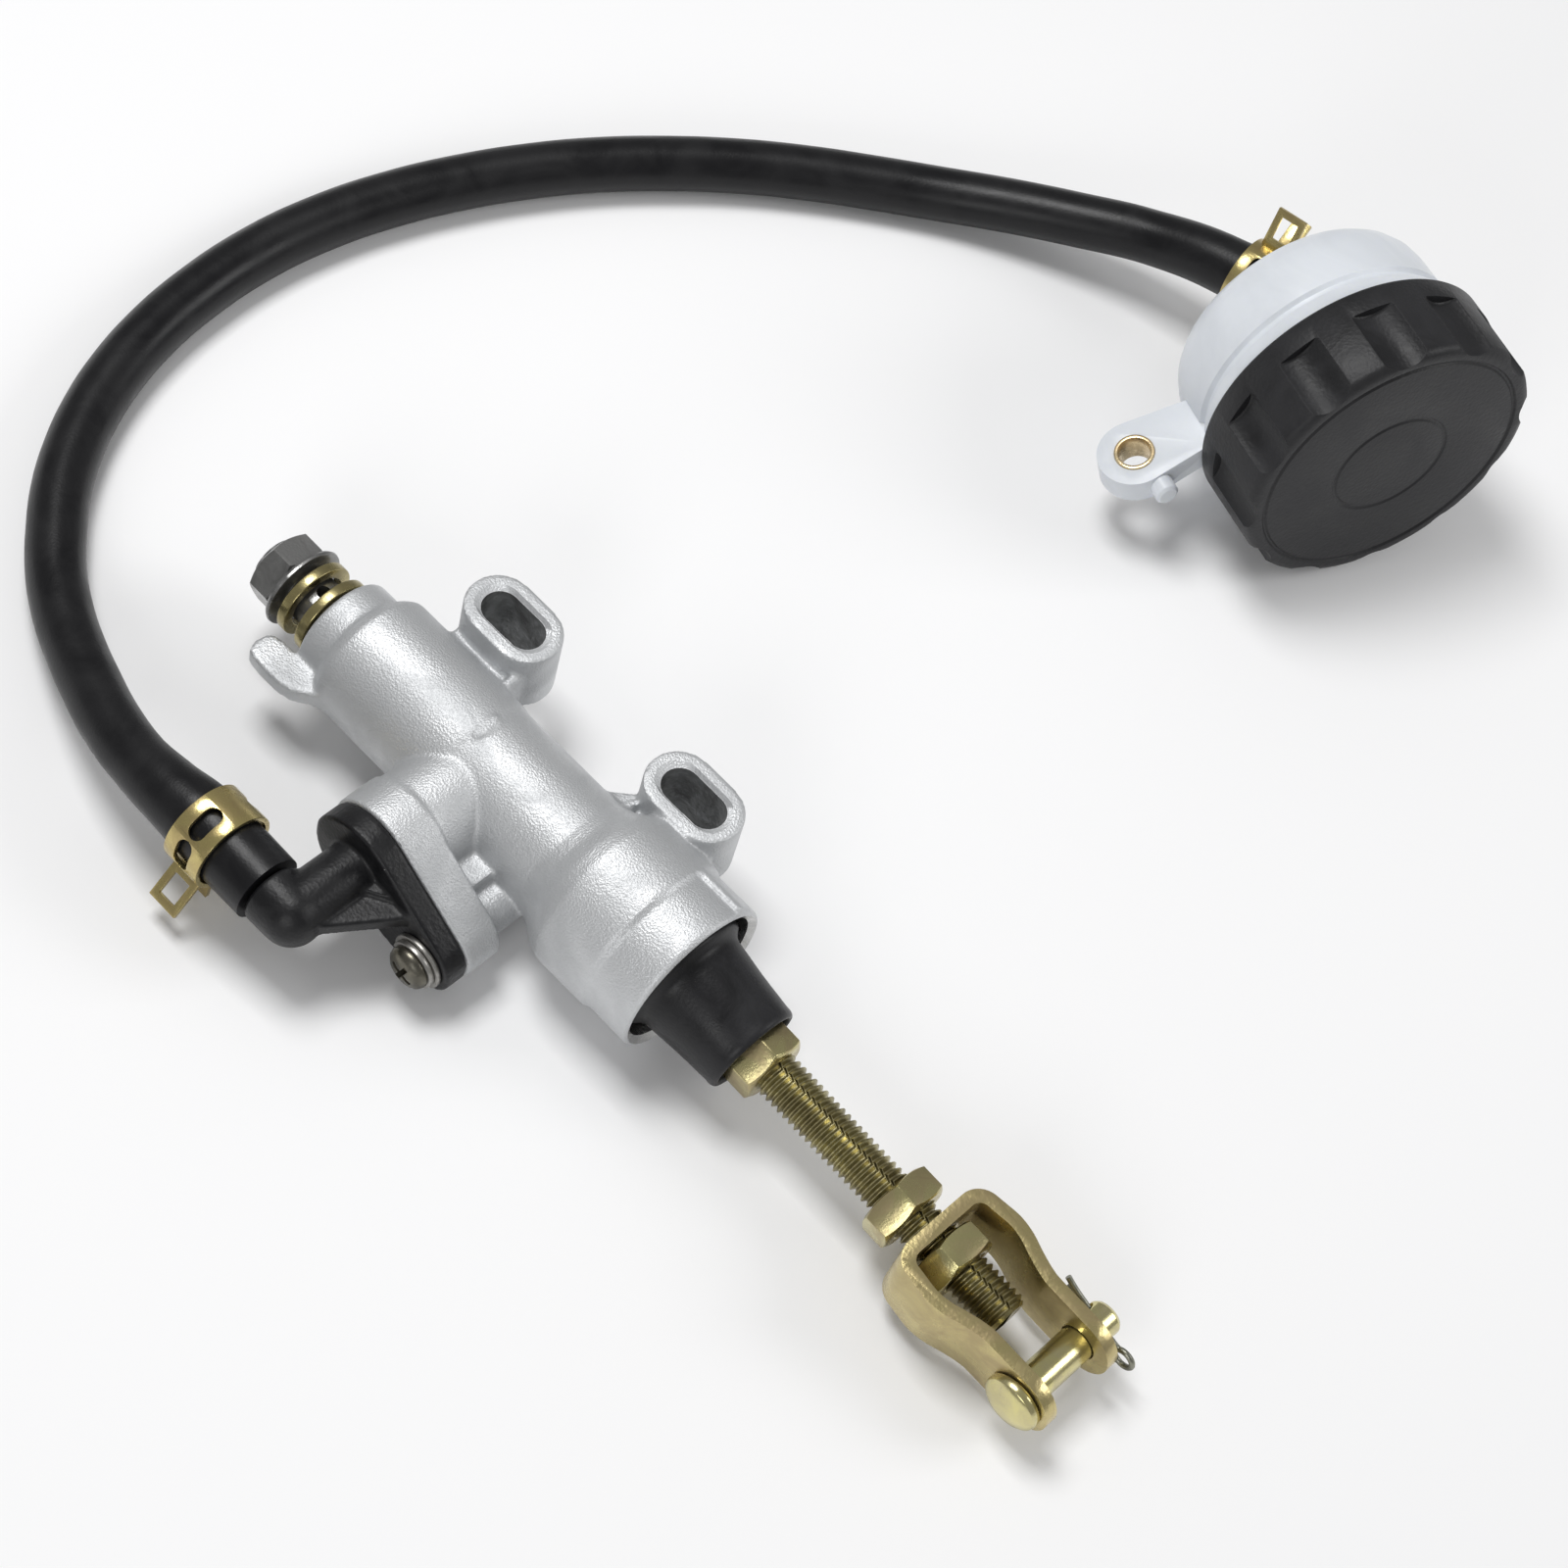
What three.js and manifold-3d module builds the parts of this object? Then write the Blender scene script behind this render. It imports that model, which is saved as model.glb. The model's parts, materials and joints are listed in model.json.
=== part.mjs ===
// Rear brake master cylinder with its remote reservoir, push rod and clevis.
// Millimetres. The bore runs along X: the outlet is at the -X end and the rod leaves at the +X end.
// +Z is the way the two fixing bosses face, and +Y is the side that they stand on.
import * as THREE from 'three';
import { mergeVertices } from 'three/addons/utils/BufferGeometryUtils.js';
import Module from 'manifold-3d';

const wasm = await Module();
wasm.setup();

// ---- Driving dimensions ------------------------------------------------------------------
const GAP = 0.3; // clearance kept between pieces that fit in or on each other
const ROUND = 32; // sides of a large round
const SMALL_ROUND = 20; // sides of a small round

// Casting
const SKIRT_R = 14.2;
const SKIRT_BACK_R = 14.8;
const SKIRT_LENGTH = 21;
const MOUTH_R = 12.4;
const POCKET_DEPTH = 16.5;
const BARREL_R = 11.4;
const BARREL_BACK_R = 11.5;
const COLLAR_R = 9.1;
const COLLAR_START = -77.5;
const OUTLET_X = -83;
const BORE_R = 6.35; // half of a 12.7 mm bore
const BORE_END = -72;
const OUTLET_PORT_R = 4.9; // tapped M10 port

// Fixing bosses, each with a slot that is long along the bore
const BOSS_X = [-62.5, -20.5];
const BOSS_Y = 17.8;
const BOSS_TOP = 10;
const BOSS_BOTTOM = -3.1;
const BOSS_HALF_WIDTH = 5.7;
const BOSS_HALF_STRAIGHT = 3.2;
const SLOT_HALF_WIDTH = 3.3;
const SLOT_HALF_STRAIGHT = 2.9;

// Inlet port on the -Y side, with a pear-shaped flange and one screw
const PORT_X = -47.5;
const PORT_FLANGE_R = 9.8;
const SCREW_X = -31.5;
const SCREW_Z = -6.4;
const SCREW_END_R = 6.3;
const FLANGE_JOINT_Y = -23.2;
const FLANGE_BACK_Y = -16;
const ELBOW_FLANGE_Y = -27.4;
const ELBOW_Y = -40.3;
const ELBOW_R = 5;
const SPIGOT_R = 3.4;
const SPIGOT_BORE_R = 1.9;
const SPIGOT_END_X = -70;

// Hose and clamps
const HOSE_R = 5;
const HOSE_START_X = -53.2;
const CLAMP_R = 6.6; // inside of the band, over the hose where the spigot swells it
const CLAMP_THICK = 0.8;
const CLAMP_WIDTH = 7.5;

// Push rod, clevis and piston
const BALL_X = -26;
const BALL_R = 4.8;
const NECK_R = 2.7;
const ROD_R = 3.8;
const ROD_END_X = 70.5;
const ROD_DROOP = THREE.MathUtils.degToRad(3); // the rod hangs a little low on its ball
const BOOT_TILT = THREE.MathUtils.degToRad(6.5);
const ROD_HEX_X = [12.6, 18.8];
const ROD_HEX_AF = 11;
const NUT_AF = 12;
const NUT_THICK = 5.2;
const LOCK_NUT_X = 44.8;
const CLEVIS_X = 52.6; // outer face of the clevis base
const CLEVIS_THICK = 2.3;
const CLEVIS_NUT_X = CLEVIS_X + CLEVIS_THICK + 0.9; // clear of the strap's bends as the clevis turns
const CLEVIS_WIDTH = 12;
const PIN_X = 80;
const PIN_R = 3;
const ARM_OUTER_Y = 8;
const COTTER_Y = 10.4;
const COTTER_TILT = THREE.MathUtils.degToRad(18);

// Reservoir, lying on its side: rotations of its own axis, and the place of its base
const RESERVOIR_AZIMUTH = THREE.MathUtils.degToRad(-21);
const RESERVOIR_RISE = THREE.MathUtils.degToRad(6);
const RESERVOIR_ROLL = THREE.MathUtils.degToRad(19);
const RESERVOIR_BASE = [-26.3, 169.6, 10.1];
const CUP_R = 24.4;
const CUP_WALL = 1.8;
const SHOULDER = 19;
const NECK_TOP = 32.4;
const CAP_R = 27.4;
const CAP_BOTTOM = 20;
const CAP_TOP = 37;
const CAP_NOTCHES = 12;
const LUG_REACH = 37;
const LUG_R = 6.6;
const LUG_AXIAL = 14;
const SPIGOT_FOOT = [4.7, 8, 0]; // where the outlet leaves the base: down, and along the level
const SPIGOT_LEAN = THREE.MathUtils.degToRad(27);
const SPIGOT_LENGTH = 18;
const UPPER_CLAMP_Z = -13;

const finishes = {
  casting: { color: 0xb9bcbe, roughness: 0.45, metalness: 0.8 },
  nylon: { color: 0x141416, roughness: 0.45, metalness: 0 },
  rubber: { color: 0x17181b, roughness: 0.5, metalness: 0 },
  yellowZinc: { color: 0xb9a35c, roughness: 0.3, metalness: 0.95 },
  oliveZinc: { color: 0x8a7f45, roughness: 0.35, metalness: 0.95 },
  darkSteel: { color: 0x5b5b58, roughness: 0.4, metalness: 0.9 },
  brightSteel: { color: 0xb4b4b0, roughness: 0.3, metalness: 0.95 },
  whitePlastic: { color: 0xf0f1f3, roughness: 0.4, metalness: 0 },
  capPlastic: { color: 0x26272a, roughness: 0.55, metalness: 0 },
  brass: { color: 0xc2a34d, roughness: 0.25, metalness: 0.95 },
  aluminium: { color: 0xa9adb2, roughness: 0.35, metalness: 0.9 },
};

// ---- Shape tools -------------------------------------------------------------------------

// A closed three.js geometry as a solid; a mesh that is inside out is turned the right way first.
function solid(geometry) {
  const bare = geometry.clone();
  bare.deleteAttribute('normal');
  bare.deleteAttribute('uv');
  const merged = mergeVertices(bare, 1e-4);
  const place = merged.getAttribute('position').array;
  const corners = Uint32Array.from(merged.index.array);
  const kept = [];
  for (let i = 0; i < corners.length; i += 3) {
    const [a, b, c] = [corners[i], corners[i + 1], corners[i + 2]];
    if (a !== b && b !== c && c !== a) kept.push(a, b, c);
  }
  let volume = 0;
  for (let i = 0; i < kept.length; i += 3) {
    const [a, b, c] = [kept[i], kept[i + 1], kept[i + 2]].map(
      (k) => new THREE.Vector3().fromArray(place, 3 * k));
    volume += a.dot(b.cross(c));
  }
  if (volume < 0) kept.reverse();
  const mesh = new wasm.Mesh({
    numProp: 3,
    vertProperties: Float32Array.from(place),
    triVerts: Uint32Array.from(kept),
  });
  return new wasm.Manifold(mesh);
}

function geometryOf(manifold) {
  const mesh = manifold.getMesh();
  const geometry = new THREE.BufferGeometry();
  geometry.setAttribute('position', new THREE.BufferAttribute(mesh.vertProperties, 3));
  geometry.setIndex(new THREE.BufferAttribute(mesh.triVerts, 1));
  return geometry;
}

function asSolid(shape) {
  return shape.isBufferGeometry ? solid(shape) : shape;
}

function joined(...shapes) {
  return shapes.map(asSolid).reduce((whole, piece) => whole.add(piece));
}

function cutBy(whole, ...tools) {
  return tools.reduce((left, tool) => left.subtract(asSolid(tool)), asSolid(whole));
}

// A shape turned about X from points of [x, radius]; the profile closes on itself or on the axis.
function turned(profile, sides = ROUND) {
  const outline = profile.map(([x, r]) => new THREE.Vector2(r, x));
  const geometry = new THREE.LatheGeometry(outline, sides);
  return geometry.rotateZ(-Math.PI / 2);
}

// The same, turned about Z from points of [z, radius].
function turnedZ(profile, sides = ROUND) {
  const outline = profile.map(([z, r]) => new THREE.Vector2(r, z));
  const geometry = new THREE.LatheGeometry(outline, sides);
  return geometry.rotateX(Math.PI / 2);
}

function rod(radius, x0, x1, sides = SMALL_ROUND) {
  const geometry = new THREE.CylinderGeometry(radius, radius, Math.abs(x1 - x0), sides);
  return geometry.rotateZ(-Math.PI / 2).translate((x0 + x1) / 2, 0, 0);
}

function rodY(radius, y0, y1, x = 0, z = 0, sides = SMALL_ROUND) {
  const geometry = new THREE.CylinderGeometry(radius, radius, Math.abs(y1 - y0), sides);
  return geometry.translate(x, (y0 + y1) / 2, z);
}

function rodZ(radius, z0, z1, x = 0, y = 0, sides = SMALL_ROUND) {
  const geometry = new THREE.CylinderGeometry(radius, radius, Math.abs(z1 - z0), sides);
  return geometry.rotateX(Math.PI / 2).translate(x, y, (z0 + z1) / 2);
}

function box(x0, x1, y0, y1, z0, z1) {
  const geometry = new THREE.BoxGeometry(x1 - x0, y1 - y0, z1 - z0);
  return geometry.translate((x0 + x1) / 2, (y0 + y1) / 2, (z0 + z1) / 2);
}

function ring(x0, x1, inner, outer, sides = SMALL_ROUND) {
  const profile = [[x0, inner], [x1, inner], [x1, outer], [x0, outer], [x0, inner]];
  return turned(profile, sides);
}

// A flat outline in XY pushed up Z from z0 to z1.
function plate(shape, z0, z1, curveSegments = 8) {
  const settings = { depth: z1 - z0, bevelEnabled: false, curveSegments };
  return new THREE.ExtrudeGeometry(shape, settings).translate(0, 0, z0);
}

// A flat outline in XZ pushed along Y from y0 to y1.
function plateY(shape, y0, y1, curveSegments = 8) {
  const settings = { depth: y1 - y0, bevelEnabled: false, curveSegments };
  return new THREE.ExtrudeGeometry(shape, settings).rotateX(Math.PI / 2).translate(0, y1, 0);
}

function stadium(halfStraight, halfWidth) {
  const shape = new THREE.Shape();
  shape.moveTo(-halfStraight, -halfWidth);
  shape.lineTo(halfStraight, -halfWidth);
  shape.absarc(halfStraight, 0, halfWidth, -Math.PI / 2, Math.PI / 2, false);
  shape.lineTo(-halfStraight, halfWidth);
  shape.absarc(-halfStraight, 0, halfWidth, Math.PI / 2, 1.5 * Math.PI, false);
  return shape;
}

// The outline round two circles in one plane, with straight tangents between them.
function pear(x0, y0, r0, x1, y1, r1) {
  const span = Math.hypot(x1 - x0, y1 - y0);
  const heading = Math.atan2(y1 - y0, x1 - x0);
  const lean = Math.acos((r0 - r1) / span);
  const shape = new THREE.Shape();
  shape.absarc(x0, y0, r0, heading + lean, heading - lean + 2 * Math.PI, false);
  shape.absarc(x1, y1, r1, heading - lean, heading + lean, false);
  return shape;
}

function polygon(points) {
  return new THREE.Shape(points.map(([x, y]) => new THREE.Vector2(x, y)));
}

function tubeAlong(points, radius, sides, steps) {
  const path = new THREE.CatmullRomCurve3(points.map((p) => new THREE.Vector3(...p)));
  const section = new THREE.Shape();
  section.absarc(0, 0, radius, 0, 2 * Math.PI, false);
  const settings = { steps, extrudePath: path, bevelEnabled: false, curveSegments: sides / 2 };
  return new THREE.ExtrudeGeometry(section, settings);
}

// A hexagonal nut blank along X with its corners chamfered by a turned double cone.
function hexagon(acrossFlats, x0, x1) {
  const corner = acrossFlats / Math.sqrt(3);
  const blank = rod(corner, x0, x1, 6);
  const chamfer = 0.9;
  const turnedEnds = turned([
    [x0, 0], [x0, corner - chamfer], [x0 + chamfer * 0.6, corner], [x1 - chamfer * 0.6, corner],
    [x1, corner - chamfer], [x1, 0]], 24);
  return solid(blank).intersect(solid(turnedEnds));
}

function node(name, finish, shape, parent) {
  const material = new THREE.MeshStandardMaterial(finishes[finish]);
  const mesh = new THREE.Mesh(geometryOf(asSolid(shape)), material);
  mesh.name = name;
  parent.add(mesh);
  return mesh;
}

const masterCylinder = new THREE.Group();

// Everything on the push rod turns with it about the centre of its ball.
const driven = new THREE.Group();
driven.rotation.y = ROD_DROOP;
driven.position.set(BALL_X * (1 - Math.cos(ROD_DROOP)), 0, BALL_X * Math.sin(ROD_DROOP));
masterCylinder.add(driven);

// ---- Casting -----------------------------------------------------------------------------
function cylinderBody() {
  const outside = turned([
    [OUTLET_X, 0], [OUTLET_X, COLLAR_R - 0.5], [OUTLET_X + 0.5, COLLAR_R], [COLLAR_START, COLLAR_R],
    [COLLAR_START + 0.6, COLLAR_R + 1.4], [COLLAR_START + 2, BARREL_BACK_R],
    [-51, BARREL_BACK_R], [-49.5, BARREL_R], [-27, BARREL_R], [-24.5, BARREL_R + 0.9],
    [-SKIRT_LENGTH - 0.6, SKIRT_BACK_R - 1], [-SKIRT_LENGTH + 1, SKIRT_BACK_R], [-9.5, SKIRT_BACK_R],
    [-9.1, SKIRT_R], [-0.5, SKIRT_R], [0, SKIRT_R - 0.4], [0, 0]], 36);
  let body = solid(outside);

  // Fixing bosses, and the thin webs that carry them on the barrel.
  const webTop = 4.6;
  BOSS_X.forEach((x) => {
    const boss = plate(stadium(BOSS_HALF_STRAIGHT, BOSS_HALF_WIDTH), BOSS_BOTTOM, BOSS_TOP);
    body = body.add(solid(boss.translate(x, BOSS_Y, 0)));
  });
  const [outletBoss, mouthBoss] = BOSS_X;
  const webs = [
    polygon([[outletBoss - 6, 6], [outletBoss + 7, 6], [outletBoss + 7, BOSS_Y], [outletBoss - 8, BOSS_Y]]),
    polygon([[mouthBoss - 14, 8], [mouthBoss + 8, 8], [mouthBoss + 8, BOSS_Y], [mouthBoss - 6, BOSS_Y - 2]]),
  ];
  webs.forEach((outline) => {
    body = body.add(solid(plate(outline, BOSS_BOTTOM, webTop)));
  });
  const rib = box(outletBoss + 6.2, outletBoss + 7.6, 9, 14.5, BOSS_BOTTOM, webTop + 1.6);
  body = body.add(solid(rib));

  // Inlet boss, its pear-shaped flange, and the boss that takes the screw.
  body = body.add(solid(rodY(9.2, FLANGE_BACK_Y - 1, -3, PORT_X, 0, 28)));
  const flange = pear(PORT_X, 0, PORT_FLANGE_R, SCREW_X, SCREW_Z, SCREW_END_R);
  body = body.add(solid(plateY(mirroredDepth(flange), FLANGE_JOINT_Y, FLANGE_BACK_Y)));
  body = body.add(solid(rodY(4.1, FLANGE_BACK_Y - 1, -9, SCREW_X, SCREW_Z + 0.4)));
  body = body.add(solid(box(SCREW_X - 6.5, SCREW_X - 2, FLANGE_BACK_Y - 1, -11.5, -4, 0.4)));

  // Finger beside the outlet that stops the banjo fitting from turning.
  const finger = new THREE.Shape();
  finger.moveTo(-87.8, -14.8);
  finger.quadraticCurveTo(-89.2, -11, -87.2, -9.5);
  finger.lineTo(-82.6, -9.4);
  finger.lineTo(-81.6, -7);
  finger.lineTo(-75, -6);
  finger.lineTo(-71, -9.5);
  finger.quadraticCurveTo(-75.5, -12.6, -78, -14.6);
  finger.quadraticCurveTo(-82, -16.2, -87.8, -14.8);
  body = body.add(solid(plate(finger, -2.5, 0.8, 5)));
  const root = polygon([[-79, -12.5], [-70, -9], [-66, -7], [-78, -6]]);
  body = body.add(solid(plate(root, -5, 0.8)));

  // Two ribs on the skirt, and the low pad that the barrel stands on.
  [-35, 158].forEach((angle) => {
    const skirtRib = box(-9.6, -0.6, -0.9, 0.9, 0, SKIRT_R + 0.8);
    body = body.add(solid(skirtRib.rotateX(THREE.MathUtils.degToRad(angle))));
  });
  body = body.add(solid(box(-76, -62, -3.2, 3.2, -SKIRT_BACK_R, -6)));

  // Bore, pocket for the boot, groove for the circlip, ports, slots and screw hole.
  body = cutBy(body,
    turned([[1, 0], [1, MOUTH_R], [-POCKET_DEPTH + 1, MOUTH_R], [-POCKET_DEPTH, MOUTH_R - 1],
      [-POCKET_DEPTH, 0]], ROUND),
    rod(BORE_R, BORE_END, 0, 28),
    turned([[-19.5, 0], [-19.5, 7.3], [-18.1, 7.3], [-18.1, 0]], 28),
    rod(2.2, OUTLET_X, -60),
    rod(OUTLET_PORT_R, OUTLET_X - 1, -73.5),
    rodY(SPIGOT_BORE_R + 0.4, -30, -2, PORT_X, 0),
    rodY(6.6, FLANGE_JOINT_Y - 1, FLANGE_JOINT_Y + 2.2, PORT_X, 0, 24),
    rodY(2.5, FLANGE_JOINT_Y - 1, -11, SCREW_X, SCREW_Z));
  BOSS_X.forEach((x) => {
    const slot = plate(stadium(SLOT_HALF_STRAIGHT, SLOT_HALF_WIDTH), BOSS_BOTTOM - 1, BOSS_TOP + 1);
    body = cutBy(body, slot.translate(x, BOSS_Y, 0));
  });
  return body;
}

// plateY turns an outline's second axis to -Z, so outlines drawn with +Z up are flipped first.
function mirroredDepth(shape) {
  const flipped = shape.getPoints(8).map((p) => new THREE.Vector2(p.x, -p.y));
  return new THREE.Shape(flipped);
}

node('cylinder_body', 'casting', cylinderBody(), masterCylinder);

// ---- Inlet elbow, seal and screw ---------------------------------------------------------
function inletElbow() {
  const flange = pear(PORT_X, 0, PORT_FLANGE_R - 0.4, SCREW_X, SCREW_Z, SCREW_END_R - 0.3);
  const plateBack = FLANGE_JOINT_Y - 0.1;
  let elbow = joined(
    plateY(mirroredDepth(flange), ELBOW_FLANGE_Y, plateBack),
    rodY(ELBOW_R, ELBOW_Y, ELBOW_FLANGE_Y + 1, PORT_X, 0, 24),
    new THREE.SphereGeometry(ELBOW_R + 0.1, 24, 14).translate(PORT_X, ELBOW_Y, 0),
    rod(ELBOW_R + 0.2, -52.6, PORT_X, 24).translate(0, ELBOW_Y, 0),
    turned([[SPIGOT_END_X, 0], [SPIGOT_END_X, SPIGOT_R - 0.6], [SPIGOT_END_X + 3, SPIGOT_R],
      [-52, SPIGOT_R], [-52, 0]], 20).translate(0, ELBOW_Y, 0));
  const gusset = polygon([[PORT_X, ELBOW_Y - 4], [PORT_X, -25.5], [PORT_X + 13.5, -25.5]]);
  elbow = elbow.add(solid(plate(gusset, -1.2, 1.5)));
  return cutBy(elbow,
    rodY(SPIGOT_BORE_R, ELBOW_Y, -20, PORT_X, 0, 16),
    rod(SPIGOT_BORE_R, -75, PORT_X, 16).translate(0, ELBOW_Y, 0),
    rodY(2.6, -30, -20, SCREW_X, SCREW_Z));
}
node('inlet_elbow', 'nylon', inletElbow(), masterCylinder);

const seal = new THREE.TorusGeometry(5.1, 0.9, 10, 24).rotateX(Math.PI / 2);
node('elbow_seal', 'rubber', seal.translate(PORT_X, FLANGE_JOINT_Y + 1, 0), masterCylinder);

// The screw stack is drawn along X with its head at the -X end, then turned to lie along Y.
function atScrew(geometry) {
  return geometry.rotateZ(Math.PI / 2).translate(SCREW_X, 0, SCREW_Z);
}
const flatWasherY = ELBOW_FLANGE_Y - 0.9;
const springWasherY = flatWasherY - 1;
const screwHead = turned([
  [springWasherY - 2.3, 0], [springWasherY - 2.2, 1.6], [springWasherY - 1.6, 3.4],
  [springWasherY - 0.9, 4.1], [springWasherY - 0.1, 4.1], [springWasherY - 0.1, 2.1],
  [-12, 2.1], [-12, 0]], SMALL_ROUND);
const recess = [0, 1].map((turn) => {
  const blade = box(springWasherY - 4, springWasherY - 1.1, -2.1, 2.1, -0.45, 0.45);
  return blade.rotateX(turn * Math.PI / 2);
});
const screw = cutBy(solid(screwHead), ...recess);
node('elbow_screw', 'darkSteel', atScrew(geometryOf(screw)), masterCylinder);
const splitGap = box(springWasherY, flatWasherY, 2, 5, -0.4, 0.4);
const springRing = cutBy(solid(ring(springWasherY, flatWasherY - 0.1, 2.5, 4.2)), splitGap);
node('elbow_spring_washer', 'brightSteel', atScrew(geometryOf(springRing)), masterCylinder);
const flatRing = ring(flatWasherY, ELBOW_FLANGE_Y - 0.1, 2.5, 4.8);
node('elbow_flat_washer', 'brightSteel', atScrew(flatRing), masterCylinder);

// ---- Outlet: banjo bolt and its two sealing washers, started in the port ----------------------
function banjoBolt() {
  const flangeX = -91.6;
  const bolt = hexagon(NUT_AF, -98, flangeX - 1).add(solid(turned([
    [flangeX - 1.2, 0], [flangeX - 1.2, 7.1], [flangeX - 0.8, 7.6], [flangeX, 7.6],
    [flangeX, OUTLET_PORT_R - 0.5], [-74.6, OUTLET_PORT_R - 0.5], [-74, OUTLET_PORT_R - 1.1],
    [-74, 0]], 24)));
  return cutBy(bolt, rod(1.7, -89, -70, 12), rodZ(1.2, -8, 8, -87.2, 0, 12));
}
node('banjo_bolt', 'darkSteel', banjoBolt(), masterCylinder);
const washerInner = OUTLET_PORT_R + 0.1;
node('banjo_washer_outer', 'oliveZinc', ring(-90.1, -88.7, washerInner, 7, 24), masterCylinder);
node('banjo_washer_inner', 'oliveZinc', ring(-85.6, -84.2, washerInner, 7.2, 24), masterCylinder);

// ---- Inside the bore -------------------------------------------------------------------------
function piston() {
  const r = BORE_R - 0.25;
  const outside = turned([
    [-55, 0], [-55, 2.8], [-52.4, 2.8], [-52.4, 3.2], [-48.4, 3.2], [-48.4, r], [-46.4, r], [-46.4, 3.4],
    [-34, 3.4], [-34, r], [-32.2, r], [-32.2, 4.9], [-29.2, 4.9], [-29.2, r], [-21.2, r], [-21.2, 0]], 24);
  return cutBy(solid(outside),
    new THREE.SphereGeometry(BALL_R + GAP, 20, 12).translate(BALL_X, 0, 0),
    rod(BALL_R + GAP, BALL_X, -20, 20));
}
node('piston', 'aluminium', piston(), masterCylinder);
const cupOuter = BORE_R - 0.1;
node('primary_cup', 'rubber', turned([
  [-52.2, 3.5], [-48.6, 3.5], [-48.6, cupOuter - 0.5], [-52.2, cupOuter], [-52.2, 5.4], [-50, 4.8],
  [-50, 4.2], [-52.2, 4], [-52.2, 3.5]], SMALL_ROUND), masterCylinder);
node('secondary_cup', 'rubber', ring(-32, -29.4, 5.2, cupOuter), masterCylinder);

function returnSpring() {
  const turns = 5;
  const stepsPerTurn = 12;
  const wire = 0.55;
  const coilR = 4.6;
  const [x0, x1] = [-71.2, -53.4];
  const points = [];
  for (let i = 0; i <= turns * stepsPerTurn; i += 1) {
    const angle = 2 * Math.PI * i / stepsPerTurn;
    const x = x0 + (x1 - x0) * i / (turns * stepsPerTurn);
    points.push([x, coilR * Math.cos(angle), coilR * Math.sin(angle)]);
  }
  return tubeAlong(points, wire, 6, turns * stepsPerTurn);
}
node('return_spring', 'brightSteel', returnSpring(), masterCylinder);

node('stop_washer', 'brightSteel', ring(-20.8, -19.8, 4.3, BORE_R - 0.15, 24), masterCylinder);
const circlipGap = box(-20, -17, 3, 9, -1.6, 1.6);
const circlip = cutBy(solid(ring(-19.3, -18.3, 5.3, 7.1, 24)), circlipGap);
node('circlip', 'darkSteel', circlip, masterCylinder);

// ---- Boot, push rod and nuts -------------------------------------------------------------
const boot = turned([
  [0, 6.8], [0, 11.3], [1.6, 11.3], [2.4, 9.6], [4, 9.2], [9.7, 8.8], [15.8, 8.2],
  [17, 8.1], [17.6, 7.7], [17.6, 7.3], [3, 7.1], [2, 6.8], [0, 6.8]], 28);
boot.rotateY(BOOT_TILT).translate(-3.2, 0, -0.4);
node('boot', 'rubber', boot, masterCylinder);

function pushRod() {
  const [hex0, hex1] = ROD_HEX_X;
  const shaft = turned([
    [BALL_X, 0], [BALL_X, NECK_R], [hex0 + 1, NECK_R], [hex0 + 1, ROD_R],
    [ROD_END_X - 0.8, ROD_R], [ROD_END_X, ROD_R - 0.8], [ROD_END_X, 0]], 24);
  const ball = new THREE.SphereGeometry(BALL_R, 20, 12).translate(BALL_X, 0, 0);
  return joined(shaft, ball).add(hexagon(ROD_HEX_AF, hex0, hex1));
}
node('push_rod', 'oliveZinc', pushRod(), driven);

function nut(x0) {
  return cutBy(hexagon(NUT_AF, x0, x0 + NUT_THICK), rod(ROD_R + GAP, x0 - 1, x0 + NUT_THICK + 1, 24));
}
node('lock_nut', 'yellowZinc', nut(LOCK_NUT_X), driven);
node('clevis_nut', 'yellowZinc', nut(CLEVIS_NUT_X), driven);

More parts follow.
